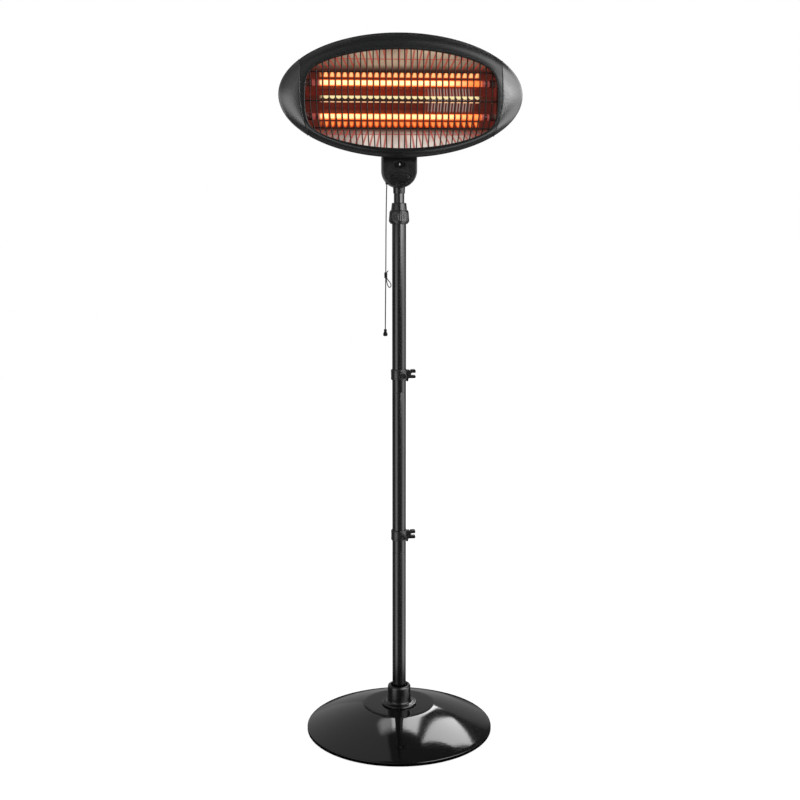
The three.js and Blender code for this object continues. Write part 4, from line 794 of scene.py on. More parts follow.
def make_base():
    """Dome of revolution: upright rim, a cone that bows out by 4 b t (1 - t) between rim and
    plateau, and a flat plateau."""
    low, high = span("base_cover")
    rim, foot, top = high[0], low[2], high[2]
    t = np.linspace(0, 1, 26)
    bow = 4 * DOME_BULGE * t * (1 - t)
    r = rim - 2 + (PLATEAU_R + 3 - rim + 2) * t
    cone = np.stack([r, 10 + (top - SHEET - 10) * t + bow], -1)
    outer = np.vstack(
        [
            rounded([(rim - 0.9, foot), (rim, foot + 0.8), (rim, 8.6), cone[0]], 0.9, closed=False),
            cone[1:],
            rounded(
                [cone[-1], (PLATEAU_R - 3, top - 0.1), (PLATEAU_R - 16, top)], 9, 8, closed=False
            )[1:],
            [(40, top), (BOLT_BORE_R, top)],
        ]
    )
    inner = (outer - [0.6, SHEET])[::-1][:-2]
    inner[0, 0] = BOLT_BORE_R
    rim_inside = [(rim - SHEET, 7.5), (rim - SHEET, foot)]
    profile = np.vstack([outer, inner[:-4], rim_inside])
    put_turned("domed_base", profile, 256, "stand", "gloss_paint", "base_cover", sharp=60)


def make_hub():
    low, high = span("hub_cover")
    foot, top, flange = low[2], high[2], high[0]
    body = 25.2
    profile = rounded(
        [
            (flange - 0.6, foot), (flange, foot + 0.8), (flange, foot + 3.2),
            (flange - 1.4, foot + 4.2), (body + 3.4, foot + 4.6), (body + 0.4, foot + 6.4),
            (body, foot + 9.5), (body - 0.5, top - 3.2), (body - 2.6, top), (20.0, top),
            (18.5, top - 1.2), (18.3, top - 9), (14.8, top - 9), (14.8, top - 11.6),
            (22, top - 11.6), (22.4, foot + 3), (flange - 3, foot + 2), (flange - 3, foot),
        ],
        [0.4, 0.6, 0.9, 1, 3, 2.5, 3, 2.8, 2, 1.2, 0.8, 0.5, 0.2, 0.2, 0.2, 0.2, 0.2, 0.2],
    )
    look = {"material": POLISHED}
    put_turned("hub_trim", profile, 128, "stand", "black_plastic", "hub_cover", **look)


def make_feet():
    for number in range(1, 5):
        low, high = span(f"foot_{number}")
        radius, top = (high[0] - low[0]) / 2, high[2]
        profile = rounded(
            [
                (0, 0.6), (4, 0.6), (5, 0), (radius - 1.5, 0), (radius, 1), (radius - 0.6, top),
                (0, top),
            ],
            0.5,
            closed=False,
        )
        name, node, centre = f"rubber_foot_{number}", f"foot_{number}", upright_axis(low, high)
        put_turned(name, profile, 48, "stand", "soft_rubber", node, False, centre)


# ---------------------------------------------------------------- pole
POLE_RADII = (14.5, 13.0)  # outer and inner
SLIDE_RADII = (10.75, 9.55)


def pipe_profile(outer, inner, low, high, edge=0.4):
    corners = [(outer, low), (outer, high), (inner, high), (inner, low)]
    return rounded(corners, edge, 3)


def make_pipe(name, node, body, outer, inner):
    low, high = span(node)
    put_turned(name, pipe_profile(outer, inner, low[2], high[2]), 96, body, "pole_paint", node)


def make_pole():
    for level in ("lower", "middle", "upper"):
        make_pipe(f"pole_{level}", f"{level}_tube", "stand", *POLE_RADII)
    make_pipe("sliding_tube", "inner_tube", "mast", *SLIDE_RADII)


# ---------------------------------------------------------------- cord clips
CLIP_BAND_R = 17.0
CLIP_HALF_H = 11.0
CLIP_BOSS = (9.0, -1.5)  # x, and height from the clip's middle
CLIP_BOSS_Y = 19.5


def make_clip(level):
    """Band round the pole, a hook with two prongs, a screw boss and a latch nub."""
    high = span(f"{level}_cord_clip")[1]
    middle, tip = high[2] - CLIP_HALF_H, high[0]
    band = rounded(
        [
            (CLIP_BAND_R, middle - CLIP_HALF_H), (CLIP_BAND_R, middle + CLIP_HALF_H),
            (14.8, middle + CLIP_HALF_H), (14.8, middle - CLIP_HALF_H),
        ],
        [1.6, 1.6, 0.3, 0.3],
    )
    rib = rounded(
        [
            (CLIP_BAND_R - 0.5, middle + 6.4), (CLIP_BAND_R + 0.55, middle + 6.9),
            (CLIP_BAND_R + 0.55, middle + 8.1), (CLIP_BAND_R - 0.5, middle + 8.6),
        ],
        0.3,
    )
    low_rib = (rib - [0, middle]) * [1, -1] + [0, middle]
    bands = [(turned(ring, 96), True, True) for ring in (band, rib, low_rib)]
    mesh = grid_mesh(f"clip_band_{level}", bands)
    put(mesh, "stand", "black_plastic", f"{level}_cord_clip")
    make_clip_hook(level, middle, tip)
    make_clip_boss(level, middle)


def make_clip_hook(level, middle, tip):
    throat = middle + 1.2
    low_in, high_in = throat - 2.7, throat + 2.7
    low_out, high_out = low_in - 5.9, high_in + 6.7
    hook = np.vstack(
        [
            [(16.2, low_out - 1.2), (22, low_out)],
            arc((tip - 2.4, low_out + 2.4), 2.4, 270, 360),
            arc((tip - 2, low_in - 2), 2, 0, 90),
            arc((27.5, throat), 2.7, 270, 90, 10),
            arc((tip - 2, high_in + 2), 2, 270, 360),
            arc((tip - 2.4, high_out - 2.4), 2.4, 0, 90),
            [(24.5, high_out), (22.8, high_out - 2.6)],
            arc((19.6, high_out - 3.4), 3, 10, 160, 10),
            [(16.2, high_out - 4.4)],
        ]
    )
    mesh = prism_mesh(f"clip_hook_{level}", [(hook, -6, 6, "Y")])
    put(mesh, "stand", "black_plastic", bevel=0.9)
    tongue = [(16.0, middle - 7), (19.5, middle - 8)]
    nub = np.vstack([tongue, arc((17, middle - 12), 2.4, 0, -180, 10)])
    mesh = prism_mesh(f"clip_latch_{level}", [(nub, -4, 4, "Y")])
    put(mesh, "stand", "black_plastic", bevel=0.7)


def make_clip_boss(level, middle):
    """Round boss on the band's front, with the clamp screw sunk in it."""
    x, z = CLIP_BOSS[0], middle + CLIP_BOSS[1]
    seat = CLIP_BOSS_Y - 2.4
    boss = rounded(
        [(0, 14.0), (5.5, 13.0), (5.4, CLIP_BOSS_Y), (3.3, CLIP_BOSS_Y), (3.1, seat), (0, seat)],
        [0, 0.2, 1.2, 0.5, 0.2, 0],
        closed=False,
    )
    grid = laid_along(turned(boss, 48), "Y", (x, 0, z)) * [1, -1, 1]
    put_grid(f"clip_boss_{level}", grid, "stand", "black_plastic")
    name, node = f"clip_screw_head_{level}", f"{level}_clip_screw"
    make_screw(name, (x, -(seat + 1.9), z), -1, 2.8, 1.5, "stand", node, material=BLACKENED)


SCREW_ARM = 0.84  # width of an arm of the cross recess
SCREW_REACH = 0.62  # share of the head's radius
SCREW_SINK = 0.8


def make_screw(name, top, side, radius, shank, body, node, length=4.0, material=None):
    """Pan-head screw along Y: top is the middle of its head's face, and side is +1 where the
    head faces +Y. The cross recess takes in the points of the face that are within half an
    arm's width of the X or Z line through its middle, out to a share of the head's radius."""
    head = [(0, 0.15), (radius * 0.55, 0.05), (radius, -0.9), (radius, -1.7)]
    shaft = [(shank, -1.7), (shank, -length), (0, -length)]
    profile = rounded(head + shaft, [0, 0.8, 0.6, 0.2, 0.1, 0.3, 0], closed=False)
    inner = np.stack([np.linspace(0, radius * 0.5, 7), np.full(7, 0.12)], -1)
    profile = np.vstack([inner, profile[2:]])
    grid = turned(profile, 64)
    turn = np.arctan2(grid[..., 1], grid[..., 0])
    reach = np.hypot(grid[..., 0], grid[..., 1])
    near_arm = np.minimum(np.abs(np.sin(turn)), np.abs(np.cos(turn))) * reach
    on_face = (reach < radius * SCREW_REACH) & (grid[..., 2] > -0.5)
    grid[..., 2] -= SCREW_SINK * ((near_arm < SCREW_ARM / 2) & on_face)
    laid = laid_along(grid, "Y", (0, 0, 0)) * [1, side, 1] + np.asarray(top, float)
    put_grid(name, laid, body, "zinc_steel", node, material=material, sharp=50)


# ---------------------------------------------------------------- twist-lock collar
GRIP_FLUTES = 28
FLUTE_DEPTH = 0.6


def make_collar():
    low, high = span("collet_body")
    foot, top = low[2], high[2]
    grip_low, grip_high = span("collar_grip")
    grip_foot, grip_top = grip_low[2], grip_high[2]
    nose = rounded(
        [
            (16.4, foot), (16.4, grip_top + 0.3), (15.0, top - 1.0), (13.9, top), (11.1, top),
            (11.1, foot + 8.2), (14.8, foot + 8), (14.8, foot),
        ],
        [0.3, 1.5, 0.9, 0.8, 0.4, 0.2, 0.2, 0.3],
    )
    put_turned("collet_nose", nose, 128, "stand", "black_plastic", "collet_body")

    flank_low, flank_high = grip_foot + 5.5, grip_top - 3.6
    t = np.linspace(0, 1, 12)[:, None]
    flank = np.array([21.2, flank_low]) * (1 - t) + np.array([19.7, flank_high]) * t
    ring = np.vstack(
        [
            rounded(
                [(15.5, grip_foot), (17.2, grip_foot), flank[0], flank[1]], 0.8, closed=False
            )[:-1],
            flank[1:-1],
            rounded([flank[-1], (17.9, grip_top), (16.7, grip_top)], 0.8, closed=False),
            [(16.7, grip_foot + 2), (15.5, grip_foot + 2)],
        ]
    )

    def flute(turn, r, z):
        """Grooves deepest in the middle of the flank: d (1/2 - 1/2 cos n a)^2 sin(pi t)^1/2."""
        t = np.clip((z - flank_low) / (flank_high - flank_low), 0, 1)
        on_flank = (r > 18.6) * np.sin(np.pi * t) ** 0.5
        return FLUTE_DEPTH * (0.5 - 0.5 * np.cos(GRIP_FLUTES * turn)) ** 2 * on_flank

    look = {"flute": flute, "sharp": 60}
    put_turned("collar_grip_ring", ring, 336, "collar", "black_plastic", "collar_grip", **look)


# ---------------------------------------------------------------- switch housing
HOUSING_R = 35.7
HOUSING_Z = 1197.3
HOUSING_TOP = 1228.5
HOUSING_ROLL = 3.0
HOUSING_WALL = 2.4
HOUSING_FRONT, HOUSING_BACK = 20.0, 22.0  # depths either side of the parting line
NECK_WALL = 0.9
RECESS = (13.0, 7.5, 1209.0)  # half width, half height, middle
BADGE = (20.5, 11.75, 1182.0)
GLAND_Z = 1190.0
NECK_R = (12.0, 12.4)
PIVOT_Z = 1240.0
EAR_NEAR, EAR_FAR, EAR_R = 18, 30, 10


def housing_outline(count=240):
    """Flat-topped outline with a round lower end, anticlockwise in X-Z."""
    top = [(HOUSING_R, HOUSING_TOP), (-HOUSING_R, HOUSING_TOP)]
    points = np.vstack([top, arc((0, HOUSING_Z), HOUSING_R, 180, 360, 48)])
    radius = np.zeros(len(points))
    radius[:2] = 6
    return resampled(rounded(points, radius), count)


def towards_oval(outline, half_width, half_height, middle):
    """For each outline point, the point where its line to the oval's centre meets the oval."""
    centre = np.array([0, middle])
    reach = outline - centre
    scale = 1 / np.sqrt((reach[:, 0] / half_width) ** 2 + (reach[:, 1] / half_height) ** 2)
    return centre + reach * scale[:, None]


def level_row(points, y):
    return np.stack([points[:, 0], np.full(len(points), float(y)), points[:, 1]], -1)


def housing_half(side, depth, hole, floor):
    """Sheet from the middle of a hole or dish, out over the flat face and round the edge to the
    parting line. side is -1 at the front. Rows: dish, flat face, roll of radius r, side wall."""
    outline = housing_outline()
    normals = edge_normals(outline)
    half_width, half_height, middle = hole
    edge = outline - HOUSING_ROLL * normals
    lip = towards_oval(outline, half_width, half_height, middle)
    rows = []
    if floor is not None:
        inner = towards_oval(outline, half_width - 1.4, half_height - 1.4, middle)
        centre = np.broadcast_to([0.0, middle], inner.shape)
        for t in np.linspace(0, 1, 6):
            dish = centre * (1 - t) + inner * t
            rows.append(level_row(dish, side * (depth - floor * (1 - 0.08 * t**2))))
        for t in (0.25, 0.5, 0.75):
            wall = inner * (1 - t) + lip * t
            sink = floor * 0.92 * 0.5 * (1 + math.cos(math.pi * t))
            rows.append(level_row(wall, side * (depth - sink)))
    for t in np.linspace(0, 1, 10):
        rows.append(level_row(lip * (1 - t) + edge * t, side * depth))
    for turn in np.radians(np.linspace(12, 90, 7)):
        out = edge + HOUSING_ROLL * math.sin(turn) * normals
        rows.append(level_row(out, side * (depth - HOUSING_ROLL * (1 - math.cos(turn)))))
    for y in (0.6, 0.15):
        rows.append(level_row(outline, side * y))
    return np.stack(rows)


def half_neck(side):
    """Half of the round neck below the housing."""
    low = span("housing_front")[0][2]
    foot = HOUSING_Z - HOUSING_R
    narrow, wide = NECK_R
    corners = [(11.2, low), (narrow, low), (narrow + 0.2, low + 6)]
    corners += [(wide, foot + 3), (wide, foot + 6)]
    profile = rounded(corners, [0, 0.6, 2, 2, 0], closed=False)
    turn = np.radians(np.linspace(0.7, 179.3, 49))[None, :]
    r, z = profile[:, :1], profile[:, 1:]
    y = side * r * np.sin(turn)
    return np.stack([r * np.cos(turn), y, np.broadcast_to(z, y.shape)], -1)


def make_housing():
    halves = [
        ("front", "cover", -1, HOUSING_FRONT, RECESS, 2.0),
        ("rear", "back", 1, HOUSING_BACK, (6.3, 6.3, GLAND_Z), None),
    ]
    for name, shell, side, depth, hole, floor in halves:
        facing = (0, side, 0)
        half = housing_half(side, depth, hole, floor)
        look = {"facing": facing, "wall": HOUSING_WALL}
        put_grid(f"switch_{shell}", half, "mast", "black_plastic", f"housing_{name}", **look)
        look = {"facing": facing, "wall": NECK_WALL, "closed": (False, False)}
        put_grid(f"neck_{name}", half_neck(side), "mast", "black_plastic", **look)
    make_knuckles()
    make_badge_and_lens()
    make_gland()


def make_knuckles():
    """Two ears on the housing's top."""
    rear, front = [(EAR_R, HOUSING_TOP - 1.5)], [(-EAR_R, HOUSING_TOP + 0.3)]
    ear = np.vstack([rear, arc((0, PIVOT_Z), EAR_R, 0, 180, 28), front])
    blocks = [(ear, EAR_NEAR, EAR_FAR, "X"), (ear, -EAR_FAR, -EAR_NEAR, "X")]
    mesh = prism_mesh("hinge_ears", blocks)
    put(mesh, "mast", "black_plastic", bevel=1.0)


def oval_plate(half_width, half_height, middle, near, far, roll, crown=0.0):
    """Plate with rounded front edges: rows from the middle of its face out to its back edge.
    The face bulges by crown (1 - t^2)."""
    rows = []
    for t in np.linspace(0, 1, 8):
        ring = oval((half_width - roll) * t, (half_height - roll) * t, middle)
        rows.append(level_row(ring, near - crown * (1 - t**2)))
    for turn in np.radians([30, 60, 90]):
        grow = roll * (1 - math.sin(turn))
        ring = oval(half_width - grow, half_height - grow, middle)
        rows.append(level_row(ring, near + roll * (1 - math.cos(turn))))
    rows.append(level_row(oval(half_width, half_height, middle), far))
    rows.append(level_row(oval(1e-4, 1e-4, middle), far))
    return np.stack(rows)


def make_badge_and_lens():
    near = span("badge")[0][1]
    half_width, half_height, middle = BADGE
    plate = oval_plate(*BADGE, near + 0.15, near + 1.6, 0.35, crown=0.15)
    bed = oval_plate(half_width + GAP, half_height + GAP, middle, near + 0.38, near + 1.2, 0.05)
    put_grid("oval_badge", plate, "mast", "satin_plastic", "badge")
    put_grid("badge_bed", bed, "mast", "soft_rubber")
    window = oval_plate(RECESS[0] - 1.5, RECESS[1] - 1.5, RECESS[2], -18.3, -17.7, 0.1)
    put_grid("dark_window", window, "mast", "soft_rubber")
    low, high = span("indicator_lens")
    half = (high - low) / 2
    lens = oval_plate(half[0], half[2], RECESS[2], low[1] + 0.3, high[1], 0.5, crown=0.3)
    put_grid("lens_window", lens, "mast", "pale_lens", "indicator_lens")


def make_gland():
    low, high = span("cable_gland")
    near, far, radius = low[1], high[1], (high[0] - low[0]) / 2
    profile = rounded(
        [
            (4.1, near), (6.0, near), (6.0, 22.3), (radius, 22.3), (radius, 25.0),
            (radius - 0.7, 25.4), (radius - 0.7, 27.2), (radius - 1.6, far), (4.6, far),
            (4.1, far - 0.6),
        ],
        0.5,
    )

    def ribs(turn, r, z):
        return 0.25 * (r > radius - 0.2) * (0.5 - 0.5 * np.cos(24 * turn))

    grid = laid_along(turned(profile, 144, flute=ribs), "Y", (0, 0, GLAND_Z))
    put_grid("gland_nut", grid, "mast", "black_plastic", "cable_gland", closed=(True, True))
    low, high = span("cord_grommet")
    ring = rounded([(2.9, low[2]), (2.9, high[2]), (1.4, high[2]), (1.4, low[2])], 0.3)
    look = {"centre": upright_axis(low, high)}
    put_turned("cord_outlet", ring, 48, "mast", "black_plastic", "cord_grommet", **look)


def make_housing_screws():
    for number in (1, 2):
        low, high = span(f"housing_screw_{number}")
        place = ((low[0] + high[0]) / 2, high[1], (low[2] + high[2]) / 2)
        name, node = f"cover_screw_{number}", f"housing_screw_{number}"
        make_screw(name, place, 1, 3.4, 1.6, "mast", node, 10)


def hexagon(radius, steps=8):
    """Outline of a six-sided nut, as radii for a full turn of 6 x steps points."""
    turn = np.linspace(0, 2 * np.pi, 6 * steps, endpoint=False)
    return radius * math.cos(math.pi / 6) / np.cos((turn + np.pi / 6) % (np.pi / 3) - np.pi / 6)


def hex_block(radius, low, high, bore=0.0):
    """Six-sided block with chamfered corners, as rings of points round a vertical axis."""
    turn = np.linspace(0, 2 * np.pi, 48, endpoint=False)
    flat = radius * math.cos(math.pi / 6)
    full = hexagon(radius)
    rows = [(np.full(48, bore), low), (np.full(48, flat), low)]
    rows += [(np.minimum(full, flat + 0.5), low + 0.35), (full, low + 1.0)]
    rows += [(full, high - 1.0), (np.minimum(full, flat + 0.5), high - 0.35)]
    rows += [(np.full(48, flat), high), (np.full(48, bore), high)]
    x, y = np.cos(turn), np.sin(turn)
    return np.stack([np.stack([r * x, r * y, np.full(48, float(z))], -1) for r, z in rows])


def make_tilt_bolt():
    """Hex bolt through the ears, with a washer face and a nut on its other end."""
    seat, head, radius, shank = 30.3, 5.0, 7.0, 4.0
    place = (0, 0, PIVOT_Z)
    corners = [(0, -36.8), (3.2, -36.8), (shank, -36), (shank, seat), (0, seat)]
    bolt = turned(rounded(corners, 0.3, closed=False), 48)
    grids = [
        (laid_along(bolt, "X", place), False, True),
        (laid_along(hex_block(radius, seat, seat + head), "X", place), False, True),
    ]
    put(grid_mesh("hinge_bolt", grids), "mast", "zinc_steel", "tilt_bolt")
    nut = laid_along(hex_block(radius, -seat - head, -seat, bore=4.1), "X", place)
    put_grid("hinge_nut", nut, "mast", "zinc_steel", "tilt_nut", closed=(True, True))


# ---------------------------------------------------------------- head
HEAD_A = span("end_cap_right")[1][0]
HEAD_B = (span("bezel")[1][2] - span("bezel")[0][2]) / 2
BEZEL_RISE = 17.0
BEZEL_ROLL = 1.5
WINDOW_DROP = 8.2
WINDOW_A = 226.5
WINDOW_B = 94.7
WINDOW_HALF_W = 191.0
WINDOW_POWER = 14
CREASE_X = 199.0
CREASE_R = 224.0
CREASE_START = 5.0
CREASE_GAP = 0.6
CREASE_ROLL = 0.6
FRAME_WALL = 2.0
SHELL_WALL = 1.4
SHELL_DEPTH = 50.0
SHELL_INSET = 52.0
SHELL_RIM_INSET = 2.5


def rim_line(turn, inset=0.0):
    """Rim's oval in the head's own X-Z."""
    return np.stack([(HEAD_A - inset) * np.cos(turn), (HEAD_B - inset) * np.sin(turn)], -1)


def window_line(turn, grow=0.0):
    """Window's outline: an oval whose ends are cut off by the soft limit
    x / (1 + |x/w|^p)^(1/p), moved outwards by grow."""
    x, z = WINDOW_A * np.cos(turn), WINDOW_B * np.sin(turn)
    limit = (1 + np.abs(x / WINDOW_HALF_W) ** WINDOW_POWER) ** (-1 / WINDOW_POWER)
    x, z = x * limit, z * limit
    length = np.hypot(x / WINDOW_HALF_W, z / WINDOW_B)
    out_x, out_z = grow * x / (WINDOW_HALF_W * length), grow * z / (WINDOW_B * length)
    return np.stack([x + out_x, z + out_z - WINDOW_DROP], -1)


def crease_x(z):
    """Joint between bezel and end cap: straight above mid height, a long arc below it."""
    below = np.minimum(z - CREASE_START, 0)
    return CREASE_X - CREASE_R + np.sqrt(CREASE_R**2 - below**2)


def face_line(turn, share):
    """X-Z between rim (share 0) and window (share 1)."""
    share = np.asarray(share)[..., None]
    return rim_line(turn, BEZEL_ROLL) * (1 - share) + window_line(turn, 1.2) * share


def crease_share(turn, shift):
    """Share at which the line from rim to window crosses the crease, moved outwards by shift;
    0 where it doesn't. Found by halving the interval."""
    low, high = np.zeros_like(turn), np.ones_like(turn)
    for _ in range(40):
        middle = (low + high) / 2
        point = face_line(turn, middle)
        outside = np.abs(point[:, 0]) > crease_x(point[:, 1]) + shift
        low, high = np.where(outside, middle, low), np.where(outside, high, middle)
    return np.where(high < 1e-6, 0, high)


def corner_turns(shift):
    """Angles of the four points where the rim meets the shifted creases."""
    fine = np.linspace(0, 2 * np.pi, 40001)
    point = rim_line(fine, BEZEL_ROLL)
    outside = np.abs(point[:, 0]) > crease_x(point[:, 1]) + shift
    change = np.nonzero(outside[1:] != outside[:-1])[0]
    return (fine[change] + fine[change + 1]) / 2


def head_point(line, y):
    """A line in the head's X-Z at depth y from the rim, as points of the whole heater."""
    y = np.broadcast_to(np.asarray(y, float), line.shape[:-1])
    return np.stack([line[..., 0], HEAD_Y + y, HEAD_Z + line[..., 1]], -1)


def face_depth(share):
    return -BEZEL_RISE * (1 - (1 - share) ** 2)


def rolled_edge(line, depth, shift, drop, back):
    """Rows that roll over an edge: each point goes sideways by shift sin a and back by
    drop (1 - cos a), then straight back."""
    rows = []
    for turn in np.radians([18, 36, 54, 72, 90]):
        rows.append(head_point(line + shift * math.sin(turn), depth + drop * (1 - math.cos(turn))))
    rows.append(head_point(line + shift, depth + back))
    return rows


def mitre(line, outer, corners):
    """Sideways shift of each point of the bezel's outline. At the four corners it satisfies
    shift . n = roll for the rim's and for the crease's normal alike."""
    normals = edge_normals(line)
    shift = normals * np.where(outer > 1e-4, CREASE_ROLL, BEZEL_ROLL)[:, None]
    for k in corners:
        x, z = line[k]
        rim = np.array([x / HEAD_A**2, z / HEAD_B**2])
        slope = (crease_x(z + 0.5) - crease_x(z - 0.5)) * np.sign(x)
        crease = np.array([1, -slope]) * np.sign(x)
        sides = np.stack([rim / np.linalg.norm(rim), crease / np.linalg.norm(crease)])
        shift[k] = np.linalg.solve(sides, [BEZEL_ROLL, CREASE_ROLL])
    return shift


def make_bezel():
    """The frame between window and rim, cut off at the two creases."""
    corners = corner_turns(-CREASE_GAP / 2 - CREASE_ROLL)
    ends = np.append(corners, corners[0] + 2 * np.pi)
    counts = (150, 60, 150, 60)
    arcs = zip(ends[:-1], ends[1:], counts)
    turn = np.concatenate([np.linspace(*arc_ends, endpoint=False) for arc_ends in arcs])
    outer = crease_share(turn, -CREASE_GAP / 2 - CREASE_ROLL)
    rows = [head_point(window_line(turn), -BEZEL_RISE + y) for y in (8, 1.2)]
    for angle in np.radians([30, 60]):
        grow = 1.2 * (1 - math.cos(angle))
        rows.append(head_point(window_line(turn, grow), -BEZEL_RISE + 1.2 * (1 - math.sin(angle))))
    for t in np.linspace(0, 1, 14):
        share = 1 - (1 - outer) * t
        rows.append(head_point(face_line(turn, share), face_depth(share)))
    edge = face_line(turn, outer)
    drop = np.where(outer > 1e-4, CREASE_ROLL, BEZEL_ROLL)
    rows += rolled_edge(edge, face_depth(outer), mitre(edge, outer, (0, 150, 210, 360)), drop, 7)
    look = {"facing": FRONT, "wall": FRAME_WALL}
    put_grid("head_bezel", np.stack(rows), "head", "satin_plastic", "bezel", **look)


def make_end_cap(side):
    """The cap outboard of a crease, from its own rolled edge there out to the rim."""
    shift = CREASE_GAP / 2 + CREASE_ROLL
    corners = corner_turns(shift)
    half_up, half_down = corners[0], 2 * np.pi - corners[3]
    turn = np.linspace(-half_down + 1e-4, half_up - 1e-4, 121)
    inner = crease_share(turn, shift)
    line = face_line(turn, inner)
    along = np.gradient(line, axis=0)
    inward = np.stack([-along[:, 1], along[:, 0]], -1)
    inward /= np.linalg.norm(inward, axis=1)[:, None]
    inward *= CREASE_ROLL
    rim = rim_line(turn, BEZEL_ROLL)
    along = np.gradient(rim, axis=0)
    outward = np.stack([along[:, 1], -along[:, 0]], -1)
    outward *= BEZEL_ROLL / np.linalg.norm(outward, axis=1)[:, None]
    for k in (0, -1):
        sides = np.stack([outward[k] / BEZEL_ROLL, inward[k] / CREASE_ROLL])
        corner = np.linalg.solve(sides, [BEZEL_ROLL, CREASE_ROLL])
        inward[k] = outward[k] = corner * min(1, 2 / np.linalg.norm(corner))
    rows = rolled_edge(line, face_depth(inner), inward, CREASE_ROLL, 7)[::-1]
    for t in np.linspace(0, 1, 14):
        share = inner * (1 - t)
        rows.append(head_point(face_line(turn, share), face_depth(share)))
    rows += rolled_edge(rim, 0, outward, BEZEL_ROLL, 7)
    grid = np.stack(rows) * [side, 1, 1]
    name = "right" if side > 0 else "left"
    look = {"wall": FRAME_WALL, "material": CAP_PLASTIC, "closed": (False, False), "facing": FRONT}
    put_grid(f"head_cap_{name}", grid, "head", "satin_plastic", f"end_cap_{name}", **look)


VENTS_PER_ROW = 6
VENT_PITCH = 38.0
VENT_SIZE = (26.0, 4.0)
VENT_ROWS_Z = (46.0, -46.0)
LUG_SCREWS = [(22.0, -58.0), (-22.0, -58.0)]


def make_rear_shell():
    """Pressed bowl: its ring at angle a lies at depth d sin a, drawn in by s (1 - cos a); the
    flat back closes it. The vents are cut through."""
    turn = np.linspace(0, 2 * np.pi, 288, endpoint=False)
    rows = [head_point(rim_line(turn, SHELL_RIM_INSET), 2.5)]
    for angle in np.radians(np.linspace(6, 90, 20)):
        inset = SHELL_RIM_INSET + SHELL_INSET * (1 - math.cos(angle))
        rows.append(head_point(rim_line(turn, inset), SHELL_DEPTH * math.sin(angle)))
    flat = rim_line(turn, SHELL_RIM_INSET + SHELL_INSET)
    for t in np.linspace(0.9, 0, 10):
        rows.append(head_point(flat * t, SHELL_DEPTH))
    look = {"facing": BACK, "wall": SHELL_WALL}
    shell = put_grid("pressed_back", np.stack(rows), "head", "gloss_paint", "rear_shell", **look)
    slots = []
    half_w, half_h = VENT_SIZE[0] / 2, VENT_SIZE[1] / 2
    for z in VENT_ROWS_Z:
        for i in range(VENTS_PER_ROW):
            x = (i - (VENTS_PER_ROW - 1) / 2) * VENT_PITCH
            right = arc((x + half_w - half_h, HEAD_Z + z), half_h, -90, 90, 8)
            left = arc((x - half_w + half_h, HEAD_Z + z), half_h, 90, 270, 8)
            slots.append((np.vstack([right, left]), HEAD_Y + 40, HEAD_Y + 60, "Y"))
    cut_out(shell, prism_mesh("vent_slots", slots))


def cut_out(piece, cutter_mesh):
    """Cuts a mesh's blocks out of a piece for good, together with the piece's own wall."""
    cutter = placed("cutter", cutter_mesh)
    cut = piece.modifiers.new("slots", "BOOLEAN")
    cut.operation = "DIFFERENCE"
    cut.solver = "EXACT"
    cut.object = cutter
    bpy.context.view_layer.update()
    seen = piece.evaluated_get(bpy.context.evaluated_depsgraph_get())
    mesh = bpy.data.meshes.new_from_object(seen)
    piece.modifiers.clear()
    piece.data = shaded(mesh)
    bpy.data.objects.remove(cutter)


# ---------------------------------------------------------------- reflector and tubes
TROUGH_HALF_H = 26.0
TROUGH_Y = 29.0
TROUGH_EDGE_Y = 12.0
RIDGE_Y = 9.0
RIDGE_HALF_H = 3.0
FLARE_Y = -5.0
REFLECTOR_MARGIN = 4.0
REFLECTOR_HALF_W = 188.0
REFLECTOR_WALL = 0.8
QUARTZ_BORE_R = 4.8
QUARTZ_HALF_L = 184
COIL_R = 3.3
COIL_WIRE_R = 0.6
COIL_TURNS = 66
COIL_STEPS = 14  # points per turn


def reflector_section():
    """Depth and height of the sheet from its top flare to its foot: each trough is the parabola
    y = d - (d - e) u^2, with a different rim height e on either side."""
    u = np.linspace(1, -1, 33)
    edge = np.where(u > 0, TROUGH_EDGE_Y, RIDGE_Y)
    depth = TROUGH_Y - (TROUGH_Y - edge) * u**2
    height = RIDGE_HALF_H + TROUGH_HALF_H + u * TROUGH_HALF_H
    flare_height = np.linspace(WINDOW_B + REFLECTOR_MARGIN, height[0], 10)[:-1]
    flare_depth = FLARE_Y + (TROUGH_EDGE_Y - FLARE_Y) * np.linspace(0, 1, 10)[:-1]
    upper = np.stack([np.append(flare_depth, depth), np.append(flare_height, height)], -1)
    lower = (upper * [1, -1])[::-1]
    ridge = [(RIDGE_Y - 0.6, 0)]
    return np.vstack([upper, ridge, lower]) + [0, -WINDOW_DROP]


def make_reflector():
    section = reflector_section()
    width, height = window_quarter(REFLECTOR_MARGIN)
    reach = np.interp(np.abs(section[:, 1] + WINDOW_DROP), height, width)
    reach = np.minimum(reach, REFLECTOR_HALF_W)[:, None]
    share = np.linspace(-1, 1, 61)[None, :]
    x = reach * share
    y = np.broadcast_to(HEAD_Y + section[:, :1], x.shape)
    z = np.broadcast_to(HEAD_Z + section[:, 1:], x.shape)
    grid = np.stack([x, y, z], -1)
    look = {"wall": REFLECTOR_WALL, "closed": (False, False), "facing": FRONT, "sharp": 30}
    trough = put_grid("double_trough", grid, "head", "mirror_sheet", "reflector", **look)
    trough.data.materials.append(SHEET_BACK)
    wall = trough.modifiers["wall"]
    wall.material_offset = wall.material_offset_rim = 1


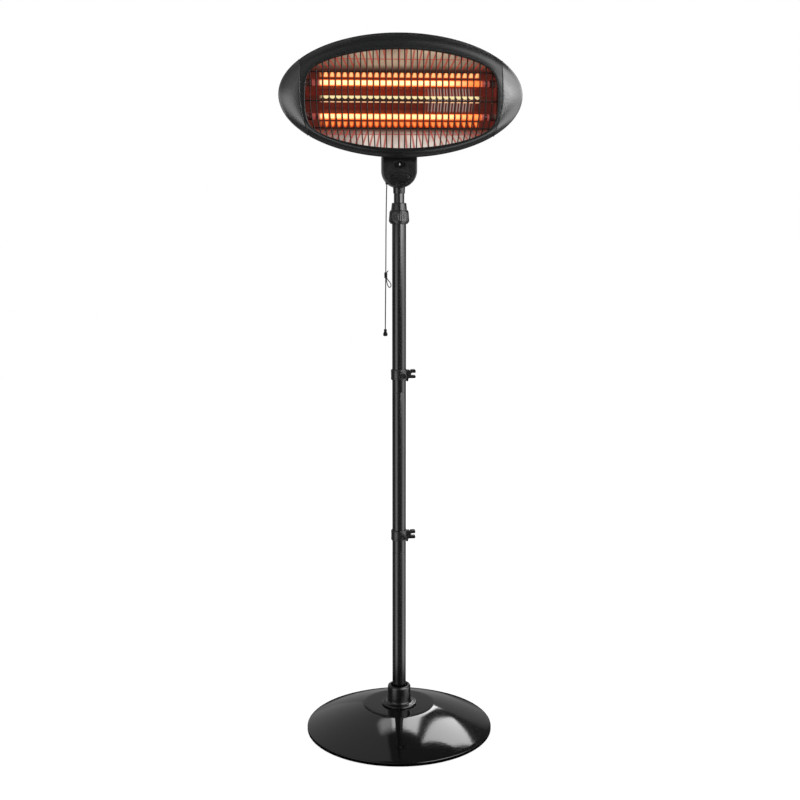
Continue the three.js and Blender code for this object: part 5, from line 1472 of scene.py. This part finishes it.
def make_tubes():
    for level, z in TUBE_Z.items():
        ring = pipe_profile(QUARTZ_R, QUARTZ_BORE_R, -QUARTZ_HALF_L, QUARTZ_HALF_L, edge=0.3)
        grid = laid_along(turned(ring, 40), "X", (0, TUBE_Y, z))
        name, node = f"quartz_{level}", f"quartz_tube_{level}"
        put_grid(name, grid, "head", "hot_quartz", node, closed=(True, True))
        make_coil(level, z)
        for side, name in ((1, "right"), (-1, "left")):
            make_ceramic(level, name, side, z)


def make_coil(level, z):
    """Helix x = pitch t, y = r cos 2 pi t, z = r sin 2 pi t, as a fine round wire."""
    t = np.linspace(0, COIL_TURNS, COIL_TURNS * COIL_STEPS + 1)
    x = -COIL_HALF + 2 * COIL_HALF * t / COIL_TURNS
    y, z = TUBE_Y + COIL_R * np.cos(2 * np.pi * t), z + COIL_R * np.sin(2 * np.pi * t)
    grid = swept(np.stack([x, y, z], -1), COIL_WIRE_R, 6, reference=(1, 0, 0))
    put_grid(f"coil_{level}", grid, "head", "hot_coil", f"heating_coil_{level}")


def make_ceramic(level, name, side, z):
    """Turned ceramic end with a groove, open towards the tube."""
    start, floor, end = 176.0, 184.3, 200.0
    body = rounded(
        [
            (6.4, floor), (6.4, start), (7.5, start), (7.5, 181), (6.9, 181.8), (6.9, 183),
            (7.5, 183.8), (7.5, end - 4), (5.6, end - 0.4), (0, end - 0.4),
        ],
        0.4,
        closed=False,
    )
    profile = np.vstack([[(0, floor)], body])
    grid = laid_along(turned(profile, 48), "X", (0, TUBE_Y, z)) * [side, 1, 1]
    which = f"{level}_{name}"
    put_grid(f"ceramic_end_{which}", grid, "head", "white_ceramic", f"ceramic_{which}")


# ---------------------------------------------------------------- wire guard
WIRE_R = 1.25
WIRE_COUNT = 30
GUARD_BOW = 4.0
GUARD_EDGE_Y = -BEZEL_RISE + 8 + GAP + WIRE_R
WIRE_TUCK = 2.6
WIRE_FLAT = 2.2  # from the window's edge to where a wire starts to bow
WIRE_LEAN = 0.055
CROSS_WIRES_Z = (1384.2, 1329.0, 1276.6)
CROSS_SET_BACK = 1.5


def window_quarter(grow):
    """A quarter of the window's outline, about the window's own middle: x falls, z rises."""
    line = window_line(np.linspace(0, np.pi / 2, 400), grow)
    return line[:, 0], line[:, 1] + WINDOW_DROP


def window_half_height(x):
    width, height = window_quarter(WIRE_TUCK)
    return np.interp(-np.abs(x), -width, height)


def window_half_width(z):
    width, height = window_quarter(WIRE_TUCK)
    return np.interp(np.abs(z), height, width)


def guard_depth(x, z):
    """Wires bow forward by b (1 - u^2)(1 - v^4), u across their own height and v across the
    window's width."""
    edge = np.maximum(window_half_height(x) - WIRE_TUCK - WIRE_FLAT, 1)
    u = np.minimum(np.abs(z + WINDOW_DROP) / edge, 1)
    v = np.minimum(np.abs(x) / (WINDOW_HALF_W - WIRE_FLAT), 1)
    return GUARD_EDGE_Y - GUARD_BOW * (1 - u**2) * (1 - v**4)


def make_guard():
    grids = []
    u = np.linspace(1, -1, 25)
    for i in range(WIRE_COUNT):
        x = (i - (WIRE_COUNT - 1) / 2) * WIRE_PITCH
        low_x = x * (1 - WIRE_LEAN)
        reach = np.where(u > 0, window_half_height(x), window_half_height(low_x))
        z = -WINDOW_DROP + u * reach
        leaned = np.where(u > 0, x, x + (low_x - x) * u**2)
        path = head_point(np.stack([leaned, z], -1), guard_depth(leaned, z))
        grids.append((swept(path, WIRE_R, 8, reference=(1, 0, 0)), False, True))
    for height in CROSS_WIRES_Z:
        z = height - HEAD_Z
        x = np.linspace(-1, 1, 49) * window_half_width(z + WINDOW_DROP)
        depth = guard_depth(x, np.full_like(x, z)) + CROSS_SET_BACK
        path = head_point(np.stack([x, np.full_like(x, z)], -1), depth)
        grids.append((swept(path, WIRE_R, 8, reference=(0, 0, 1)), False, True))
    put(grid_mesh("guard_wires", grids, sharp=60), "head", "guard_wire", "wire_guard")


# ---------------------------------------------------------------- hinge lug
def make_lug():
    """Plate on the head's back, with an arm down to the hinge's middle knuckle."""
    seat = HEAD_Y + SHELL_DEPTH + GAP
    outside = seat + 3.2
    foot, top = HEAD_Z - 69, HEAD_Z - 12
    plate = rounded([(30, foot), (30, top), (-30, top), (-30, foot)], 6, 5)
    arm_top = HEAD_Z - 30.2
    arm = np.vstack(
        [
            [(seat, arm_top), (seat, HEAD_Z - 68), (seat - 2, HEAD_Z - 78)],
            arc((0, PIVOT_Z), 10, 170, 370, 24),
            [(4, HEAD_Z - 72), (outside + 1, arm_top - 10), (outside, arm_top)],
        ]
    )
    mesh = prism_mesh("head_bracket", [(plate, seat, outside, "Y"), (arm, -17, 17, "X")])
    put(mesh, "head", "gloss_paint", "hinge_lug", bevel=1.0)
    for number, (x, z) in enumerate(LUG_SCREWS, 1):
        place = (x, outside + 2.2, HEAD_Z + z)
        make_screw(f"bracket_screw_{number}", place, 1, 3.4, 1.6, "head", f"lug_screw_{number}", 8)


# ---------------------------------------------------------------- floor, backdrop and light
# What reflections see of the studio: white cards, each from one bearing to another (degrees
# from straight behind the heater, positive to its right), with its lower and its upper edge at
# either end (degrees above the horizon), a soft edge and a brightness.
CARDS = [
    (26.3, 40, (29.5, 41), (63, 51), 1.5, 7.0),
    (10, 21, (24, 24), (60, 60), 2.5, 7.5),
    (-3, 13, (51, 51), (60, 60), 4, 6.5),
    (-13, -2, (51, 51), (60, 60), 6, 2.8),
    (-100, -7, (2, 2), (78, 78), 4, 0.46),
    (-30, 30, (-25, -25), (25, 25), 12, 0.34),
    (-148, -110, (-90, -90), (9, 9), 20, 2.8),
    (80, 130, (-90, -90), (9, 9), 28, 3.0),
    (95, 152, (2, 2), (60, 60), 20, 4.6),
    (122, 160, (5, 5), (16, 16), 10, 11.0),
    (-170, -110, (2, 2), (60, 60), 30, 0.7),
]
STUDIO_DIM = 0.1
FLOOR_DIM = 0.2
FRONT_GLOW = 0.3  # of the studio straight in front, just above the horizon
SKY_LIGHT = 0.5  # on the object, from all round
FLOOR_HALF = 6.0
FLOOR_FADE = (0.3, 1.6)  # distances over which the floor's own light rises to full
CARDS_CLEAR = (0.22, 0.36)  # distances over which the floor's cards rise to full
LAMP_PLACE = (0.1, -0.75, 3.0)
LAMP_TARGET = (0.0, 0.0, 0.6)
LAMP_SIZE = (1.6, 0.8)
LAMP_RADIANCE = 5


def card_light(nodes, place, flat):
    """Brightness that reflections see in the direction of a place; a flat place is on the
    floor, and counts as lying below the horizon."""
    split = nodes.axes(place)
    degrees = 180 / math.pi
    bearing = nodes.product(nodes.math("ARCTAN2", split["X"], split["Y"]), degrees)
    rise = nodes.product(nodes.math("ARCSINE", split["Z"]), degrees)
    total = None
    for left, right, low, high, soft, level in CARDS:
        if flat and low[0] > -10:
            continue
        card = nodes.between(bearing, left, right, soft)
        if not flat:
            blur = min(soft, 6) / 2
            above = nodes.math("SUBTRACT", rise, nodes.ramp(bearing, left, right, *low))
            below = nodes.math("SUBTRACT", nodes.ramp(bearing, left, right, *high), rise)
            inside = [nodes.ramp(side, -blur, blur, smooth=True) for side in (above, below)]
            card = nodes.product(card, *inside)
        card = nodes.product(card, level)
        total = card if total is None else nodes.math("MAXIMUM", total, card)
    if not flat:
        ahead = nodes.ramp(nodes.math("ABSOLUTE", bearing), 150, 175, 0, FRONT_GLOW, smooth=True)
        ahead = nodes.product(ahead, nodes.between(rise, 2, 18, 3))
        total = nodes.math("MAXIMUM", total, ahead)
    return nodes.math("MAXIMUM", total, FLOOR_DIM if flat else STUDIO_DIM)


def ray_kinds(nodes):
    """1 for the rays that show the background itself, and 1 for reflections."""
    rays = nodes.node("ShaderNodeLightPath").outputs
    straight = nodes.math("MAXIMUM", rays["Is Camera Ray"], rays["Is Transmission Ray"])
    return straight, rays["Is Glossy Ray"]


def floor_white():
    """White to the camera, with the object's shadow; white cards to reflections; plain grey to
    the rays that light the object."""
    material = bpy.data.materials.new("pale_floor")
    material.use_nodes = True
    nodes = Nodes(material.node_tree)
    nodes.tree.nodes.clear()
    place = nodes.node("ShaderNodeTexCoord").outputs["Object"]
    unit = nodes.node("ShaderNodeVectorMath", {0: place}, operation="NORMALIZE").outputs[0]
    away = nodes.node("ShaderNodeVectorMath", {0: place}, operation="LENGTH").outputs["Value"]
    straight, glossy = ray_kinds(nodes)
    plain = nodes.node("ShaderNodeBsdfDiffuse", {"Color": (0.45, 0.45, 0.45, 1)}).outputs[0]
    shaded = nodes.node("ShaderNodeBsdfDiffuse", {"Color": (0.22, 0.22, 0.22, 1)}).outputs[0]
    own = nodes.ramp(away, *FLOOR_FADE, 0.9, 1.0, smooth=True)
    light = nodes.node("ShaderNodeEmission", {"Strength": own}).outputs[0]
    clear = nodes.ramp(away, *CARDS_CLEAR, smooth=True)
    level = nodes.product(card_light(nodes, unit, True), clear)
    cards = nodes.node("ShaderNodeEmission", {"Strength": level}).outputs[0]
    seen = nodes.node("ShaderNodeAddShader", {0: shaded, 1: light}).outputs[0]
    seen = nodes.node("ShaderNodeMixShader", {0: straight, 1: plain, 2: seen}).outputs[0]
    seen = nodes.node("ShaderNodeMixShader", {0: glossy, 1: seen, 2: cards}).outputs[0]
    nodes.node("ShaderNodeOutputMaterial", {"Surface": seen})
    material.cycles.emission_sampling = "NONE"
    return material


def make_floor():
    mesh = bpy.data.meshes.new("floor")
    corners = [(FLOOR_HALF * x, FLOOR_HALF * y, 0) for x, y in ((-1, -1), (1, -1), (1, 1), (-1, 1))]
    mesh.from_pydata(corners, [], [(0, 1, 2, 3)])
    mesh.materials.append(floor_white())
    floor = placed("floor", mesh)


def make_world():
    """White to the camera, white cards to reflections, and an even soft light otherwise."""
    world = bpy.data.worlds.new("studio")
    world.use_nodes = True
    nodes = Nodes(world.node_tree)
    sky = world.node_tree.nodes["Background"]
    sky.inputs["Color"].default_value = (1, 1, 1, 1)
    place = nodes.node("ShaderNodeTexCoord").outputs["Generated"]
    straight, glossy = ray_kinds(nodes)
    level = nodes.product(card_light(nodes, place, False), glossy)
    level = nodes.math("ADD", level, straight)
    level = nodes.math("MAXIMUM", level, nodes.math("SUBTRACT", SKY_LIGHT, glossy))
    nodes.tree.links.new(level, sky.inputs["Strength"])
    world.cycles.sampling_method = "NONE"
    bpy.context.scene.world = world


def make_lamp():
    """Soft box overhead that faces a point of the pole; its power is pi x area x radiance."""
    data = bpy.data.lights.new("overhead_box", "AREA")
    data.shape = "RECTANGLE"
    data.size, data.size_y = LAMP_SIZE
    data.energy = math.pi * LAMP_SIZE[0] * LAMP_SIZE[1] * LAMP_RADIANCE
    lamp = placed("overhead_box", data)
    lamp.location = LAMP_PLACE
    lamp.visible_glossy = False
    x, y, z = np.array(LAMP_TARGET) - np.array(LAMP_PLACE)
    lamp.rotation_euler = (math.atan2(math.hypot(x, y), -z), 0, math.atan2(-x, y))


# ---------------------------------------------------------------- the scene
make_camera()
make_pull_cord()
dress_solids()
make_base()
make_hub()
make_feet()
make_pole()
for clip in ("lower", "upper"):
    make_clip(clip)
make_collar()
make_housing()
make_housing_screws()
make_tilt_bolt()
make_bezel()
for side in (1, -1):
    make_end_cap(side)
make_rear_shell()
make_reflector()
make_tubes()
make_guard()
make_lug()
make_floor()
make_world()
make_lamp()

bpy.context.scene.view_settings.view_transform = "Standard"
